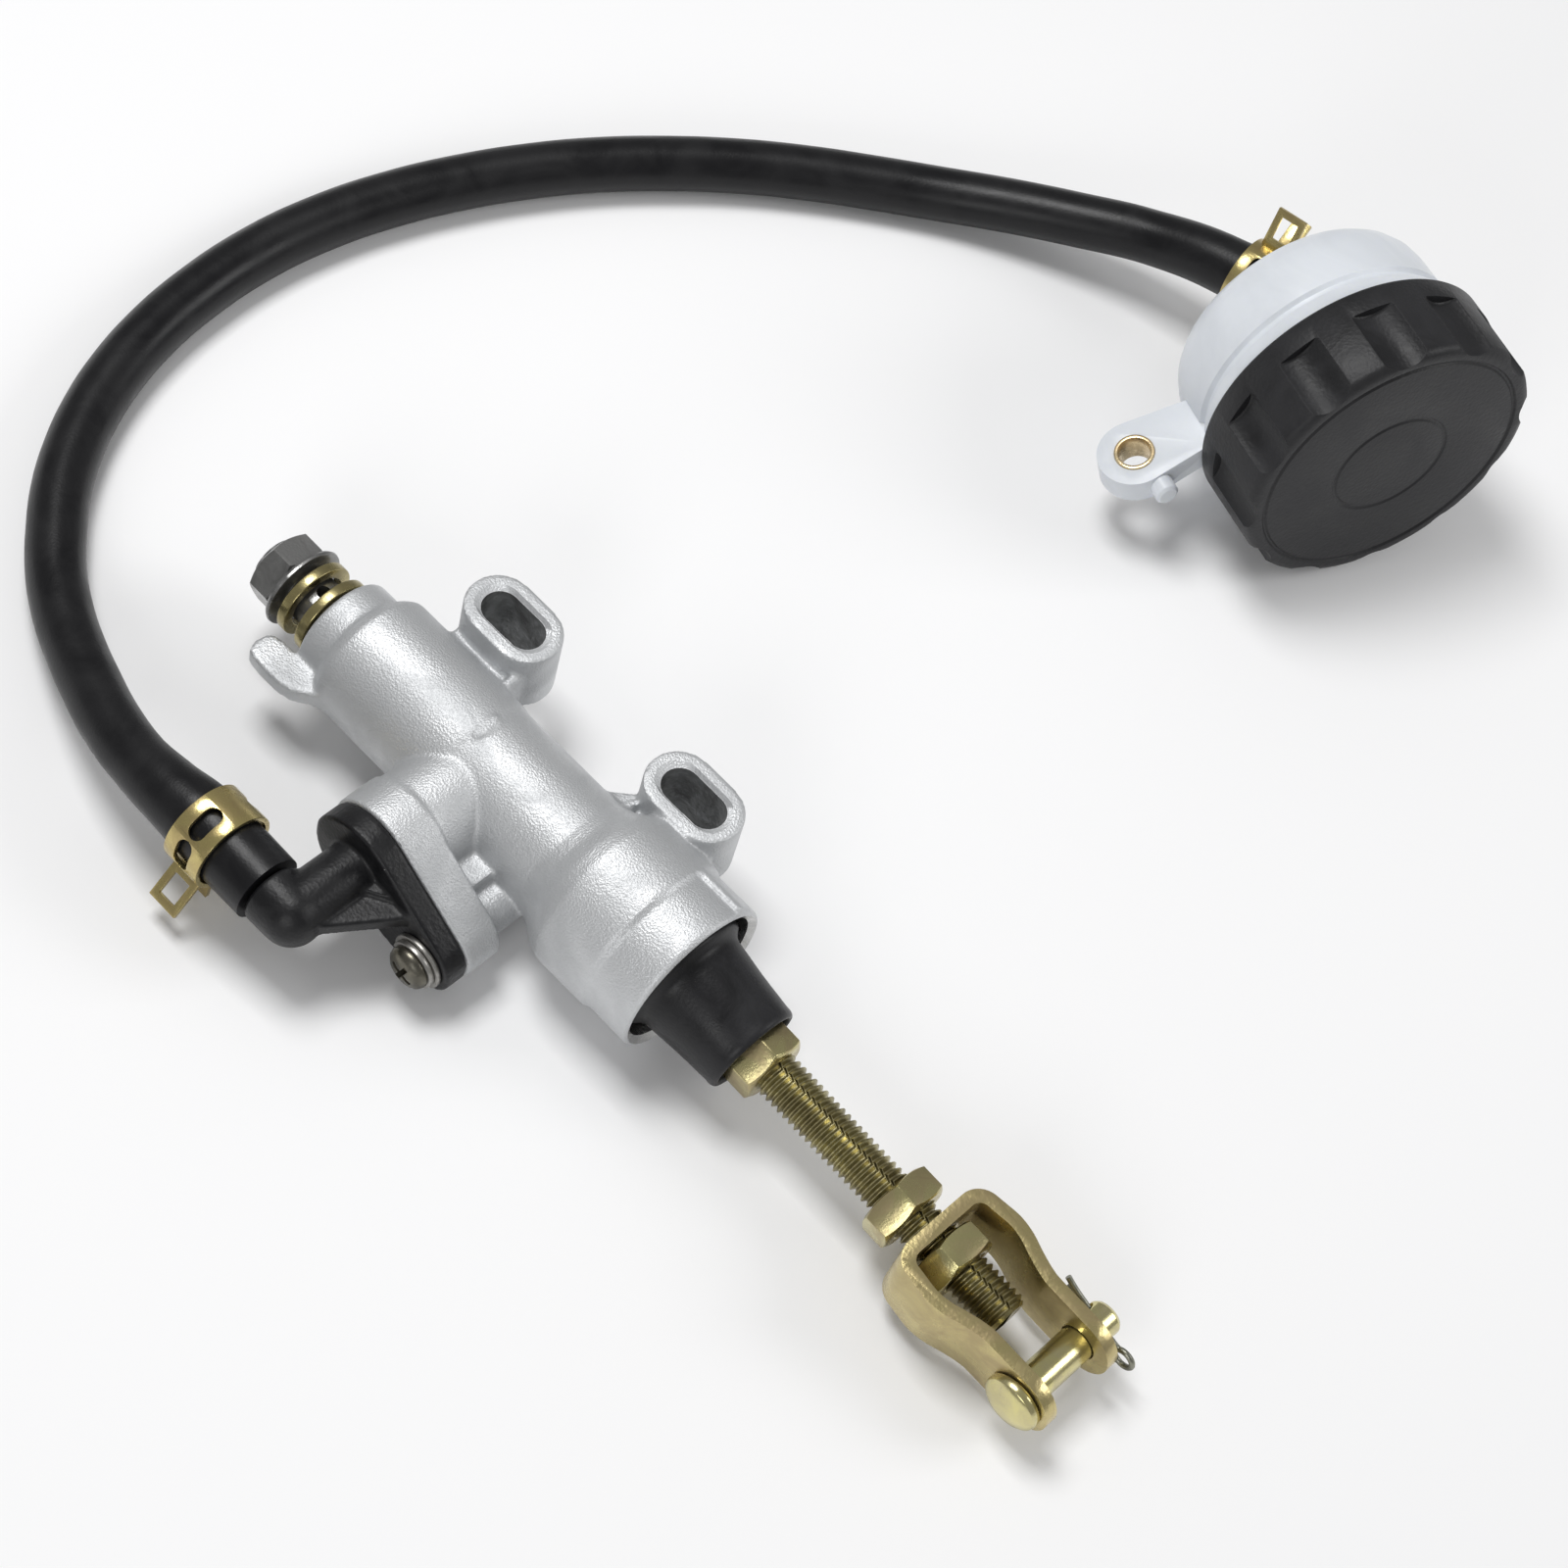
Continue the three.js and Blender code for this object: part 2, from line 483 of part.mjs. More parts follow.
// ---- Clevis: one strap bent to a U whose arms belly out and draw in again ---------------------
function clevis() {
  const half = [[CLEVIS_X + 5.2, 9.2], [CLEVIS_X + 8.4, 9.45], [CLEVIS_X + 13, 8.3],
    [CLEVIS_X + 18, 7], [CLEVIS_X + 23, ARM_OUTER_Y - CLEVIS_THICK / 2]];
  const mid = CLEVIS_X + CLEVIS_THICK / 2;
  const centre = [[mid, 0], [mid, 5.4], [mid + 1.2, 7.6], ...half];
  const path = new THREE.SplineCurve(centre.map(([x, y]) => new THREE.Vector2(x, y)));
  const samples = path.getPoints(20).slice(1);
  samples.push(new THREE.Vector2(PIN_X + 7, ARM_OUTER_Y - CLEVIS_THICK / 2));
  const outer = [new THREE.Vector2(CLEVIS_X, 0)];
  const inner = [new THREE.Vector2(CLEVIS_X + CLEVIS_THICK, 0)];
  samples.forEach((p, i) => {
    const before = samples[Math.max(i - 1, 0)];
    const after = samples[Math.min(i + 1, samples.length - 1)];
    const along = new THREE.Vector2().subVectors(after, before).normalize();
    const side = new THREE.Vector2(-along.y, along.x).multiplyScalar(CLEVIS_THICK / 2);
    outer.push(new THREE.Vector2(Math.max(p.x + side.x, CLEVIS_X), p.y + side.y));
    inner.push(new THREE.Vector2(Math.max(p.x - side.x, CLEVIS_X + CLEVIS_THICK), p.y - side.y));
  });
  const arm = new THREE.Shape([...outer, ...inner.reverse()]);
  const mirrored = arm.getPoints().map((p) => new THREE.Vector2(p.x, -p.y));
  const halfWidth = CLEVIS_WIDTH / 2;
  const strap = joined(plate(arm, -halfWidth, halfWidth),
    plate(new THREE.Shape(mirrored), -halfWidth, halfWidth),
    box(CLEVIS_X, CLEVIS_X + CLEVIS_THICK, -3, 3, -halfWidth, halfWidth));

  // The arms' ends are rounded about the pin.
  const side = new THREE.Shape();
  side.moveTo(CLEVIS_X - 1, -halfWidth);
  side.lineTo(PIN_X, -halfWidth);
  side.absarc(PIN_X, 0, halfWidth, -Math.PI / 2, Math.PI / 2, false);
  side.lineTo(CLEVIS_X - 1, halfWidth);
  const rounded = strap.intersect(solid(plateY(side, -20, 20, 10)));
  return cutBy(rounded,
    rod(ROD_R + GAP, CLEVIS_X - 1, CLEVIS_X + CLEVIS_THICK + 1, 24),
    rodY(PIN_R + 0.2, -20, 20, PIN_X, 0));
}
node('clevis', 'yellowZinc', clevis(), driven);

const pinEnd = 12.8;
const pinShape = turned([
  [-10.7, 0], [-10.4, 3.4], [-9.6, 4.9], [-8.3, 4.9], [-8.3, PIN_R], [pinEnd - 0.6, PIN_R],
  [pinEnd, PIN_R - 0.6], [pinEnd, 0]], SMALL_ROUND).rotateZ(Math.PI / 2).translate(PIN_X, 0, 0);
function atCotter(geometry) {
  return geometry.rotateY(COTTER_TILT).translate(PIN_X, COTTER_Y, 0);
}
const cotterHole = atCotter(rod(1.1, -6, 6, 12));
node('clevis_pin', 'yellowZinc', cutBy(pinShape, cotterHole), driven);
const cotterLegs = rod(0.75, -8.5, 5, 10);
const cotterEye = new THREE.TorusGeometry(1.6, 0.6, 8, 16).rotateX(Math.PI / 2).translate(6.4, 0, 0);
const cotter = atCotter(geometryOf(joined(cotterLegs, cotterEye)));
node('cotter_pin', 'darkSteel', cotter, driven);

// ---- Reservoir: drawn standing on Z, then laid on its side ------------------------------------
const reservoir = new THREE.Group();
reservoir.position.set(...RESERVOIR_BASE);
reservoir.rotation.set(0, Math.PI / 2 - RESERVOIR_RISE, RESERVOIR_AZIMUTH, 'ZYX');
masterCylinder.add(reservoir);
const rolled = new THREE.Group();
rolled.rotation.z = -Math.PI / 2 + RESERVOIR_ROLL;
const outlet = new THREE.Group(); // the outlet runs down this group's own -Z
outlet.position.set(...SPIGOT_FOOT);
outlet.rotation.x = -SPIGOT_LEAN;
reservoir.add(rolled, outlet);
masterCylinder.updateMatrixWorld(true);
const outletToRolled = rolled.matrixWorld.clone().invert().multiply(outlet.matrixWorld);

function reservoirBody() {
  const inner = CUP_R - CUP_WALL;
  const neck = CAP_R - 4.2;
  const cup = turnedZ([
    [0, 0], [0, CUP_R - 6], [1, CUP_R - 3], [3, CUP_R - 1], [6, CUP_R], [SHOULDER, CUP_R + 0.6],
    [SHOULDER, neck], [NECK_TOP, neck], [NECK_TOP, 0]], 36);
  const cavity = turnedZ([
    [CUP_WALL, 0], [CUP_WALL, inner - 5], [CUP_WALL + 3, inner - 1.4], [7, inner],
    [SHOULDER - 2.4, inner], [SHOULDER - 0.4, neck - 2], [NECK_TOP + 1, neck - 2], [NECK_TOP + 1, 0]], 36);
  const spigot = turnedZ([
    [-SPIGOT_LENGTH, 0], [-SPIGOT_LENGTH, SPIGOT_R - 0.5], [3 - SPIGOT_LENGTH, SPIGOT_R],
    [2.6, SPIGOT_R], [2.6, 0]], 20).applyMatrix4(outletToRolled);
  const lug = plateY(pear(LUG_REACH, 0, LUG_R, CUP_R - 6, 0, 4.5), -2.5, 2.5);
  const nub = rodZ(2.1, LUG_AXIAL + 4, LUG_AXIAL + 9.5, LUG_REACH - 1.5, 0, 12);
  const shell = joined(cup, spigot, lug.translate(0, 0, LUG_AXIAL), nub);
  return cutBy(shell, cavity,
    rodZ(SPIGOT_BORE_R, -20, 6, 0, 0, 16).applyMatrix4(outletToRolled),
    rodY(3.7, -5, 5, LUG_REACH, LUG_AXIAL));
}
node('reservoir_body', 'whitePlastic', reservoirBody(), rolled);

const bush = ring(-2.9, 2.9, 2.7, 3.4, 24).rotateZ(Math.PI / 2);
node('reservoir_bush', 'brass', bush.translate(LUG_REACH, 0, LUG_AXIAL), rolled);

const lidInner = CAP_R - 4.2;
node('diaphragm', 'rubber', turnedZ([
  [NECK_TOP + GAP, lidInner - 0.4], [NECK_TOP + 1.1, lidInner - 0.4], [NECK_TOP + 1.1, 18.6],
  [NECK_TOP - 5, 17.4], [NECK_TOP - 5, 8], [NECK_TOP - 6, 8], [NECK_TOP - 6, 18.2],
  [NECK_TOP + GAP, 20], [NECK_TOP + GAP, lidInner - 0.4]],
  28), rolled);
node('diaphragm_plate', 'whitePlastic', turnedZ([
  [NECK_TOP + 1.4, 4], [NECK_TOP + 2.1, 4], [NECK_TOP + 2.1, lidInner - 0.5],
  [NECK_TOP + 1.4, lidInner - 0.5], [NECK_TOP + 1.4, 4]], 28), rolled);

function reservoirCap() {
  const cap = turnedZ([
    [CAP_BOTTOM, lidInner + GAP], [CAP_BOTTOM, CAP_R], [CAP_TOP - 2, CAP_R], [CAP_TOP - 0.5, CAP_R - 0.6],
    [CAP_TOP, CAP_R - 1.6], [CAP_TOP, 0], [CAP_TOP - 2.1, 0], [CAP_TOP - 2.1, lidInner + GAP],
    [CAP_BOTTOM, lidInner + GAP]], 48);
  const notches = [];
  for (let i = 0; i < CAP_NOTCHES; i += 1) {
    const notch = rodZ(6, CAP_BOTTOM + 4.5, CAP_TOP + 1, CAP_R + 4.2, 0, 24);
    notches.push(notch.rotateZ(2 * Math.PI * (i - 0.3) / CAP_NOTCHES));
  }
  return cutBy(solid(cap), ...notches);
}
node('reservoir_cap', 'capPlastic', reservoirCap(), rolled);

// ---- Hose and clamps ---------------------------------------------------------------------
masterCylinder.updateMatrixWorld(true);
function onOutlet(z) {
  return new THREE.Vector3(0, 0, z).applyMatrix4(outlet.matrixWorld);
}
const spigotRoot = onOutlet(-3.4);
const spigotTip = onOutlet(-SPIGOT_LENGTH - 1);

// The route: off the elbow, down to the surface, round in one open bend, and up to the reservoir.
const hoseRoute = [
  [HOSE_START_X, ELBOW_Y, 0], [-62, ELBOW_Y, 0], [-70, ELBOW_Y, -0.1], [-75.4, -40.6, -0.4],
  [-83.4, -40.2, -2], [-92.6, -38.4, -4], [-101, -35.6, -6], [-109.2, -32.4, -7.8], [-116.8, -28.8, -9],
  [-123.6, -24.6, -9.6], [-129.6, -19.7, -9.7], [-135.3, -14.2, -9.7], [-140.4, -7.8, -9.7],
  [-145, -0.3, -9.7], [-148.8, 8.1, -9.7], [-151.9, 18, -9.7], [-153.8, 28.6, -9.7],
  [-154.6, 43.4, -9.7], [-153.2, 57.8, -9.7], [-150.1, 71.1, -9.7], [-145.8, 83.5, -9.7],
  [-140.5, 95.3, -9.7], [-134.3, 106.5, -9.7], [-127.1, 117.1, -9.7], [-119.3, 127, -9.7],
  [-110.5, 136.4, -9.6], [-101.2, 145.1, -9.5], [-91.3, 153.3, -8.9], [-80.8, 160.4, -7],
  [-69.6, 166.5, -4.4], [-59, 171, -1.4], [-51.5, 173.8, 1],
];
const hosePoints = [...hoseRoute, spigotTip.toArray(), spigotRoot.toArray()];

function supplyHose() {
  const tube = solid(tubeAlong(hosePoints, HOSE_R, 10, 64));
  const spigotSpan = spigotTip.clone().sub(spigotRoot);
  const clearanceR = SPIGOT_R + GAP;
  const clearance = new THREE.CylinderGeometry(clearanceR, clearanceR, spigotSpan.length() + 4, 16);
  const turn = new THREE.Quaternion().setFromUnitVectors(
    new THREE.Vector3(0, 1, 0), spigotSpan.clone().normalize());
  clearance.applyQuaternion(turn).translate(...spigotRoot.clone().lerp(spigotTip, 0.42).toArray());
  return cutBy(tube, clearance, rod(SPIGOT_R + GAP, SPIGOT_END_X - 0.5, -50, 16).translate(0, ELBOW_Y, 0));
}
node('supply_hose', 'rubber', supplyHose(), masterCylinder);

// A flat spring band whose two ends stand up as square loops; drawn round X and then placed.
function springClamp() {
  const outer = CLAMP_R + CLAMP_THICK;
  const half = CLAMP_WIDTH / 2;
  const band = ring(-half, half, CLAMP_R, outer, 28);
  const tangs = [-1, 1].map((sideSign) => {
    const tang = box(-2.8, 2.8, -0.4, 0.4, outer - 0.6, outer + 7);
    const window = box(-1.7, 1.7, -1, 1, outer + 1.6, outer + 5.9);
    const tilt = THREE.MathUtils.degToRad(sideSign * 17);
    return geometryOf(cutBy(tang, window)).rotateX(tilt);
  });
  return joined(band, ...tangs);
}

const lowerClamp = geometryOf(springClamp()).rotateX(THREE.MathUtils.degToRad(152));
node('hose_clamp_lower', 'yellowZinc', lowerClamp.translate(-65, ELBOW_Y, 0), masterCylinder);
const upperClamp = geometryOf(springClamp()).rotateY(Math.PI / 2)
  .rotateZ(THREE.MathUtils.degToRad(140));
const upperMesh = node('hose_clamp_upper', 'yellowZinc', upperClamp, outlet);
upperMesh.position.z = UPPER_CLAMP_Z;

// ---- Placing: the part stands on z = 0 with its box centred on the origin, hose left out -------
const cordPieces = ['supply_hose', 'hose_clamp_lower', 'hose_clamp_upper'];
const extent = new THREE.Box3();
masterCylinder.updateMatrixWorld(true);
masterCylinder.traverse((piece) => {
  if (piece.isMesh && !cordPieces.includes(piece.name)) {
    extent.union(new THREE.Box3().setFromObject(piece, true));
  }
});
const middle = extent.getCenter(new THREE.Vector3());
masterCylinder.position.set(-middle.x, -middle.y, -extent.min.z);

export default masterCylinder;
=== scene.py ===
"""Rear brake master cylinder with a remote reservoir, shown at rest on a plain pale floor."""
import json
import math

import bpy
from mathutils import Euler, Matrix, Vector


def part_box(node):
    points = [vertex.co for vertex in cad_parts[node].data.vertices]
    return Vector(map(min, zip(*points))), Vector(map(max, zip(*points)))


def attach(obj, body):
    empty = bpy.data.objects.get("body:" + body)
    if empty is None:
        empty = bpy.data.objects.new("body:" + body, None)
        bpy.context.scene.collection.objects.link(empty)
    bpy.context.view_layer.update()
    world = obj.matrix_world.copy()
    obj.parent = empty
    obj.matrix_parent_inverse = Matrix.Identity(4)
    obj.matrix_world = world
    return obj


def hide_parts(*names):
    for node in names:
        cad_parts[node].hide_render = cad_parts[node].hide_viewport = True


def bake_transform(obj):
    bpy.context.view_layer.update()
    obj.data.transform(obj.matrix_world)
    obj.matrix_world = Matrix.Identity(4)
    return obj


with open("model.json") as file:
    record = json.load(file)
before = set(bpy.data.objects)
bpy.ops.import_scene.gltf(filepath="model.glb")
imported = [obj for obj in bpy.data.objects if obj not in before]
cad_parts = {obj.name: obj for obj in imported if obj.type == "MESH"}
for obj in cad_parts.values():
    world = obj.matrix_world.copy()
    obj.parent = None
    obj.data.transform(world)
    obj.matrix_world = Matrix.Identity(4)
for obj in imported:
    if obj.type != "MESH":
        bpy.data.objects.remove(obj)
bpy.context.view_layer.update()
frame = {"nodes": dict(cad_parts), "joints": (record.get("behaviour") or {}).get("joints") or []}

# ---- Camera, floor and light ---------------------------------------------------------------
# A long lens looks down on the part from its clevis end, rolled so that the bore runs corner to corner.
# Three soft boxes and a dim white surround light it, and the floor is matt and nearly white.
MM = 0.001
camera_data = bpy.data.cameras.new("camera")
camera_data.lens = 81
camera_data.sensor_width = 36
camera = bpy.data.objects.new("camera", camera_data)
camera.location = (0.13802, -0.30382, 0.49035)
camera.rotation_euler = Euler([math.radians(turn) for turn in (31.3412, -10.2371, 45.4553)], "XYZ")
bpy.context.scene.collection.objects.link(camera)
bpy.context.scene.camera = camera
bpy.context.scene.view_settings.view_transform = "Standard"

world = bpy.data.worlds.new("white surround")
world.use_nodes = True
world.node_tree.nodes["Background"].inputs["Color"].default_value = (1, 1, 1, 1)
world.node_tree.nodes["Background"].inputs["Strength"].default_value = 0.3
bpy.context.scene.world = world


def soft_box(name, place, target, size, watts):
    light_data = bpy.data.lights.new(name, "AREA")
    light_data.shape = "SQUARE"
    light_data.size = size
    light_data.energy = watts
    light = bpy.data.objects.new(name, light_data)
    light.location = place
    light.rotation_euler = (Vector(target) - Vector(place)).to_track_quat("-Z", "Y").to_euler()
    bpy.context.scene.collection.objects.link(light)


soft_box("main box", (-0.3, -0.05, 0.75), (-0.02, -0.02, 0), 0.3, 3.8)
soft_box("side box", (0.5, 0.45, 0.5), (0, 0, 0), 0.35, 1.7)
soft_box("front box", (0.25, -0.7, 0.4), (0, 0, 0), 0.3, 1.2)

bpy.ops.object.select_all(action="DESELECT")
bpy.ops.mesh.primitive_plane_add(size=6)
floor = bpy.context.object
floor.name = "floor"
floor_paint = bpy.data.materials.new("pale floor")
floor_paint.use_nodes = True
floor_shader = floor_paint.node_tree.nodes["Principled BSDF"]
floor_shader.inputs["Base Color"].default_value = (0.93, 0.93, 0.935, 1)
floor_shader.inputs["Roughness"].default_value = 0.9
floor.data.materials.append(floor_paint)

# ---- Supply hose ---------------------------------------------------------------------------
# Black fluid hose, 10 mm outside, pushed over the elbow's spigot at one end and the reservoir's at the other.
# It swells where the spigots fill it, and lies on the floor in one open bend between them.
joints = {joint["name"]: joint for joint in frame["joints"]}
piston_low, piston_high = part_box("piston")
MOUTH = Vector((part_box("cylinder_body")[1].x, 0, 0))
BORE = Vector((MOUTH.x, (piston_low.y + piston_high.y) / 2, (piston_low.z + piston_high.z) / 2))
ALONG = Vector((1, 0, 0))
ACROSS = Vector((0, 1, 0))
UP = Vector((0, 0, 1))


def on_bore(x, y=0.0, z=0.0):
    """A place given in millimetres from the middle of the cylinder's mouth."""
    return BORE + Vector((x, y, z)) * MM


# The reservoir lies on its side: its axis comes from the cap's joint, and its lug is rolled off the level.
RES_AXIS = Vector(joints["cap_lift"]["axis"]).normalized()
RES_BASE = Vector(joints["cap_turn"]["pos_m"]) - RES_AXIS * 30 * MM
RES_LEVEL = Vector((-RES_AXIS.y, RES_AXIS.x, 0)).normalized()
RES_DOWN = RES_LEVEL.cross(RES_AXIS)
LUG_TURN = math.radians(19 - 90)
LUG_WAY = RES_DOWN * math.cos(LUG_TURN) + RES_LEVEL * math.sin(LUG_TURN)
LUG_SIDE = RES_LEVEL * math.cos(LUG_TURN) - RES_DOWN * math.sin(LUG_TURN)
# The cup's outlet leans 27 degrees off the cup's own axis.
SPIGOT_FOOT = RES_BASE + (RES_DOWN * 4.7 + RES_LEVEL * 8) * MM
SPIGOT_LEAN = math.radians(27)
SPIGOT_AXIS = RES_LEVEL * math.sin(SPIGOT_LEAN) + RES_AXIS * math.cos(SPIGOT_LEAN)
SPIGOT_SIDE = RES_LEVEL * math.cos(SPIGOT_LEAN) - RES_AXIS * math.sin(SPIGOT_LEAN)


def on_spigot(z):
    return SPIGOT_FOOT + SPIGOT_AXIS * z * MM


ELBOW_Y = -40.3
hose_route = [on_bore(*place) for place in (
    (-53.2, ELBOW_Y, 0), (-62, ELBOW_Y, 0), (-70, ELBOW_Y, -0.1), (-75.4, -40.6, -0.4),
    (-83.4, -40.2, -2), (-92.6, -38.4, -4), (-101, -35.6, -6), (-109.2, -32.4, -7.8),
    (-116.8, -28.8, -9), (-123.6, -24.6, -9.6), (-129.6, -19.7, -9.7), (-135.3, -14.2, -9.7),
    (-140.4, -7.8, -9.7), (-145, -0.3, -9.7), (-148.8, 8.1, -9.7), (-151.9, 18, -9.7),
    (-153.8, 28.6, -9.7), (-154.6, 43.4, -9.7), (-153.2, 57.8, -9.7), (-150.1, 71.1, -9.7),
    (-145.8, 83.5, -9.7), (-140.5, 95.3, -9.7), (-134.3, 106.5, -9.7), (-127.1, 117.1, -9.7),
    (-119.3, 127, -9.7), (-110.5, 136.4, -9.6), (-101.2, 145.1, -9.5), (-91.3, 153.3, -8.9),
    (-80.8, 160.4, -7), (-69.6, 166.5, -4.4), (-57.5, 171.6, -0.9))]
hose_route += [on_spigot(-19), on_spigot(-13), on_spigot(-8), on_spigot(-3.4)]
HOSE_R = 5
# How far the hose swells, as a share of its own radius, at the points nearest to each spigot.
SWELL_AT_START = (1.2, 1.22, 1.22, 1.1)
SWELL_AT_END = (1.08, 1.2, 1.22, 1.2)

hose_curve = bpy.data.curves.new("supply hose", "CURVE")
hose_curve.dimensions = "3D"
hose_curve.bevel_depth = HOSE_R * MM
hose_curve.bevel_resolution = 12
hose_curve.resolution_u = 8
hose_curve.use_fill_caps = True
hose_spline = hose_curve.splines.new("BEZIER")
hose_spline.bezier_points.add(len(hose_route) - 1)
for point, place in zip(hose_spline.bezier_points, hose_route):
    point.co = place
    point.handle_left_type = "AUTO"
    point.handle_right_type = "AUTO"
for point, swell in zip(hose_spline.bezier_points, SWELL_AT_START):
    point.radius = swell
for point, swell in zip(hose_spline.bezier_points[-len(SWELL_AT_END):], SWELL_AT_END):
    point.radius = swell
hose = bpy.data.objects.new("hose", hose_curve)
bpy.context.scene.collection.objects.link(hose)


def effect(name, inputs, output):
    """An empty node group that puts out one mask or height, read from the piece's own coordinates."""
    group = bpy.data.node_groups.new(name, "ShaderNodeTree")
    for label, value in inputs.items():
        socket = group.interface.new_socket(label, in_out="INPUT", socket_type="NodeSocketFloat")
        socket.default_value = value
    group.interface.new_socket(output, in_out="OUTPUT", socket_type="NodeSocketFloat")
    start = group.nodes.new("NodeGroupInput")
    end = group.nodes.new("NodeGroupOutput")
    place = group.nodes.new("ShaderNodeTexCoord")
    return group, start, end, place.outputs["Object"]


# Slow clouds of colour, as handling and uneven plating leave.
drift_group, start, end, place = effect("cloudy drift", {"Scale": 60.0, "Stretch": 1.0}, "Mask")
clouds = drift_group.nodes.new("ShaderNodeTexNoise")
clouds.inputs["Detail"].default_value = 4
clouds.inputs["Roughness"].default_value = 0.6
spread = drift_group.nodes.new("ShaderNodeMapRange")
spread.inputs["From Min"].default_value = 0.36
spread.inputs["From Max"].default_value = 0.64
drift_group.links.new(place, clouds.inputs["Vector"])
drift_group.links.new(start.outputs["Scale"], clouds.inputs["Scale"])
drift_group.links.new(start.outputs["Stretch"], clouds.inputs["Distortion"])
drift_group.links.new(clouds.outputs["Fac"], spread.inputs["Value"])
drift_group.links.new(spread.outputs["Result"], end.inputs["Mask"])

# Fine grain that roughens a surface: a soft noise and a sharper one at twice its scale.
grain_group, start, end, place = effect("fine grain", {"Scale": 2500.0}, "Height")
soft = grain_group.nodes.new("ShaderNodeTexNoise")
soft.inputs["Detail"].default_value = 2
sharp = grain_group.nodes.new("ShaderNodeTexVoronoi")
double = grain_group.nodes.new("ShaderNodeMath")
double.operation = "MULTIPLY"
double.inputs[1].default_value = 0.55
total = grain_group.nodes.new("ShaderNodeMath")
total.operation = "ADD"
for texture in (soft, sharp):
    grain_group.links.new(place, texture.inputs["Vector"])
grain_group.links.new(start.outputs["Scale"], soft.inputs["Scale"])
grain_group.links.new(start.outputs["Scale"], double.inputs[0])
grain_group.links.new(double.outputs["Value"], sharp.inputs["Scale"])
grain_group.links.new(soft.outputs["Fac"], total.inputs[0])
grain_group.links.new(sharp.outputs["Distance"], total.inputs[1])
grain_group.links.new(total.outputs["Value"], end.inputs["Height"])

# Dust: a small round speck in the middle of a few cells.
dust_group, start, end, place = effect("dust", {"Scale": 300.0, "Share": 0.04, "Size": 0.12}, "Mask")
cells = dust_group.nodes.new("ShaderNodeTexVoronoi")
near = dust_group.nodes.new("ShaderNodeMath")
near.operation = "LESS_THAN"
split = dust_group.nodes.new("ShaderNodeSeparateColor")
few = dust_group.nodes.new("ShaderNodeMath")
few.operation = "LESS_THAN"
both = dust_group.nodes.new("ShaderNodeMath")
both.operation = "MULTIPLY"
dust_group.links.new(place, cells.inputs["Vector"])
dust_group.links.new(start.outputs["Scale"], cells.inputs["Scale"])
dust_group.links.new(cells.outputs["Distance"], near.inputs[0])
dust_group.links.new(start.outputs["Size"], near.inputs[1])
dust_group.links.new(cells.outputs["Color"], split.inputs["Color"])
dust_group.links.new(split.outputs["Red"], few.inputs[0])
dust_group.links.new(start.outputs["Share"], few.inputs[1])
dust_group.links.new(near.outputs["Value"], both.inputs[0])
dust_group.links.new(few.outputs["Value"], both.inputs[1])
dust_group.links.new(both.outputs["Value"], end.inputs["Mask"])


def finish(name, light, dark, metallic, roughness, drift=60, grain=2500, depth=0.05, dust=0.0,
           dust_colour=(0.6, 0.6, 0.58)):
    """A finish that drifts between two colours, with its gloss, its grain and a little dust.

    roughness is the pair of values the drift runs between; depth is the height of the grain in millimetres.
    """
    material = bpy.data.materials.new(name)
    material.use_nodes = True
    nodes, links = material.node_tree.nodes, material.node_tree.links
    shader = nodes["Principled BSDF"]
    shader.inputs["Metallic"].default_value = metallic
    drifting = nodes.new("ShaderNodeGroup")
    drifting.node_tree = drift_group
    drifting.inputs["Scale"].default_value = drift
    tint = nodes.new("ShaderNodeMix")
    tint.data_type = "RGBA"
    tint.inputs["A"].default_value = (*light, 1)
    tint.inputs["B"].default_value = (*dark, 1)
    links.new(drifting.outputs["Mask"], tint.inputs["Factor"])
    dusty = nodes.new("ShaderNodeGroup")
    dusty.node_tree = dust_group
    dusty.inputs["Share"].default_value = dust
    dusted = nodes.new("ShaderNodeMix")
    dusted.data_type = "RGBA"
    dusted.inputs["B"].default_value = (*dust_colour, 1)
    links.new(dusty.outputs["Mask"], dusted.inputs["Factor"])
    links.new(tint.outputs["Result"], dusted.inputs["A"])
    links.new(dusted.outputs["Result"], shader.inputs["Base Color"])
    gloss = nodes.new("ShaderNodeMapRange")
    gloss.inputs["To Min"].default_value = roughness[0]
    gloss.inputs["To Max"].default_value = roughness[1]
    links.new(drifting.outputs["Mask"], gloss.inputs["Value"])
    links.new(gloss.outputs["Result"], shader.inputs["Roughness"])
    grains = nodes.new("ShaderNodeGroup")
    grains.node_tree = grain_group
    grains.inputs["Scale"].default_value = grain
    bump = nodes.new("ShaderNodeBump")
    bump.inputs["Distance"].default_value = depth * MM
    bump.inputs["Strength"].default_value = 1
    links.new(grains.outputs["Height"], bump.inputs["Height"])
    links.new(bump.outputs["Normal"], shader.inputs["Normal"])
    return material


def dulled(material, level):
    """Lowers how strongly a plastic or a rubber mirrors what stands round it."""
    material.node_tree.nodes["Principled BSDF"].inputs["Specular IOR Level"].default_value = level
    return material


hose_rubber = finish("hose rubber", (0.005, 0.005, 0.006), (0.01, 0.01, 0.011), 0, (0.3, 0.42),
                     drift=90, grain=4000, depth=0.012, dust=0.02)
dulled(hose_rubber, 0.28)
hose.data.materials.append(hose_rubber)
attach(hose, "cylinder")
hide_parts("supply_hose")


# ---- Hose clamps ---------------------------------------------------------------------------
# Flat spring-steel bands, yellow plated, with oval windows in the band.
# One end is a square loop and the other a narrow tongue that stands beside it; pinching them opens the band.
def alone(piece):
    bpy.ops.object.select_all(action="DESELECT")
    piece.select_set(True)
    bpy.context.view_layer.objects.active = piece


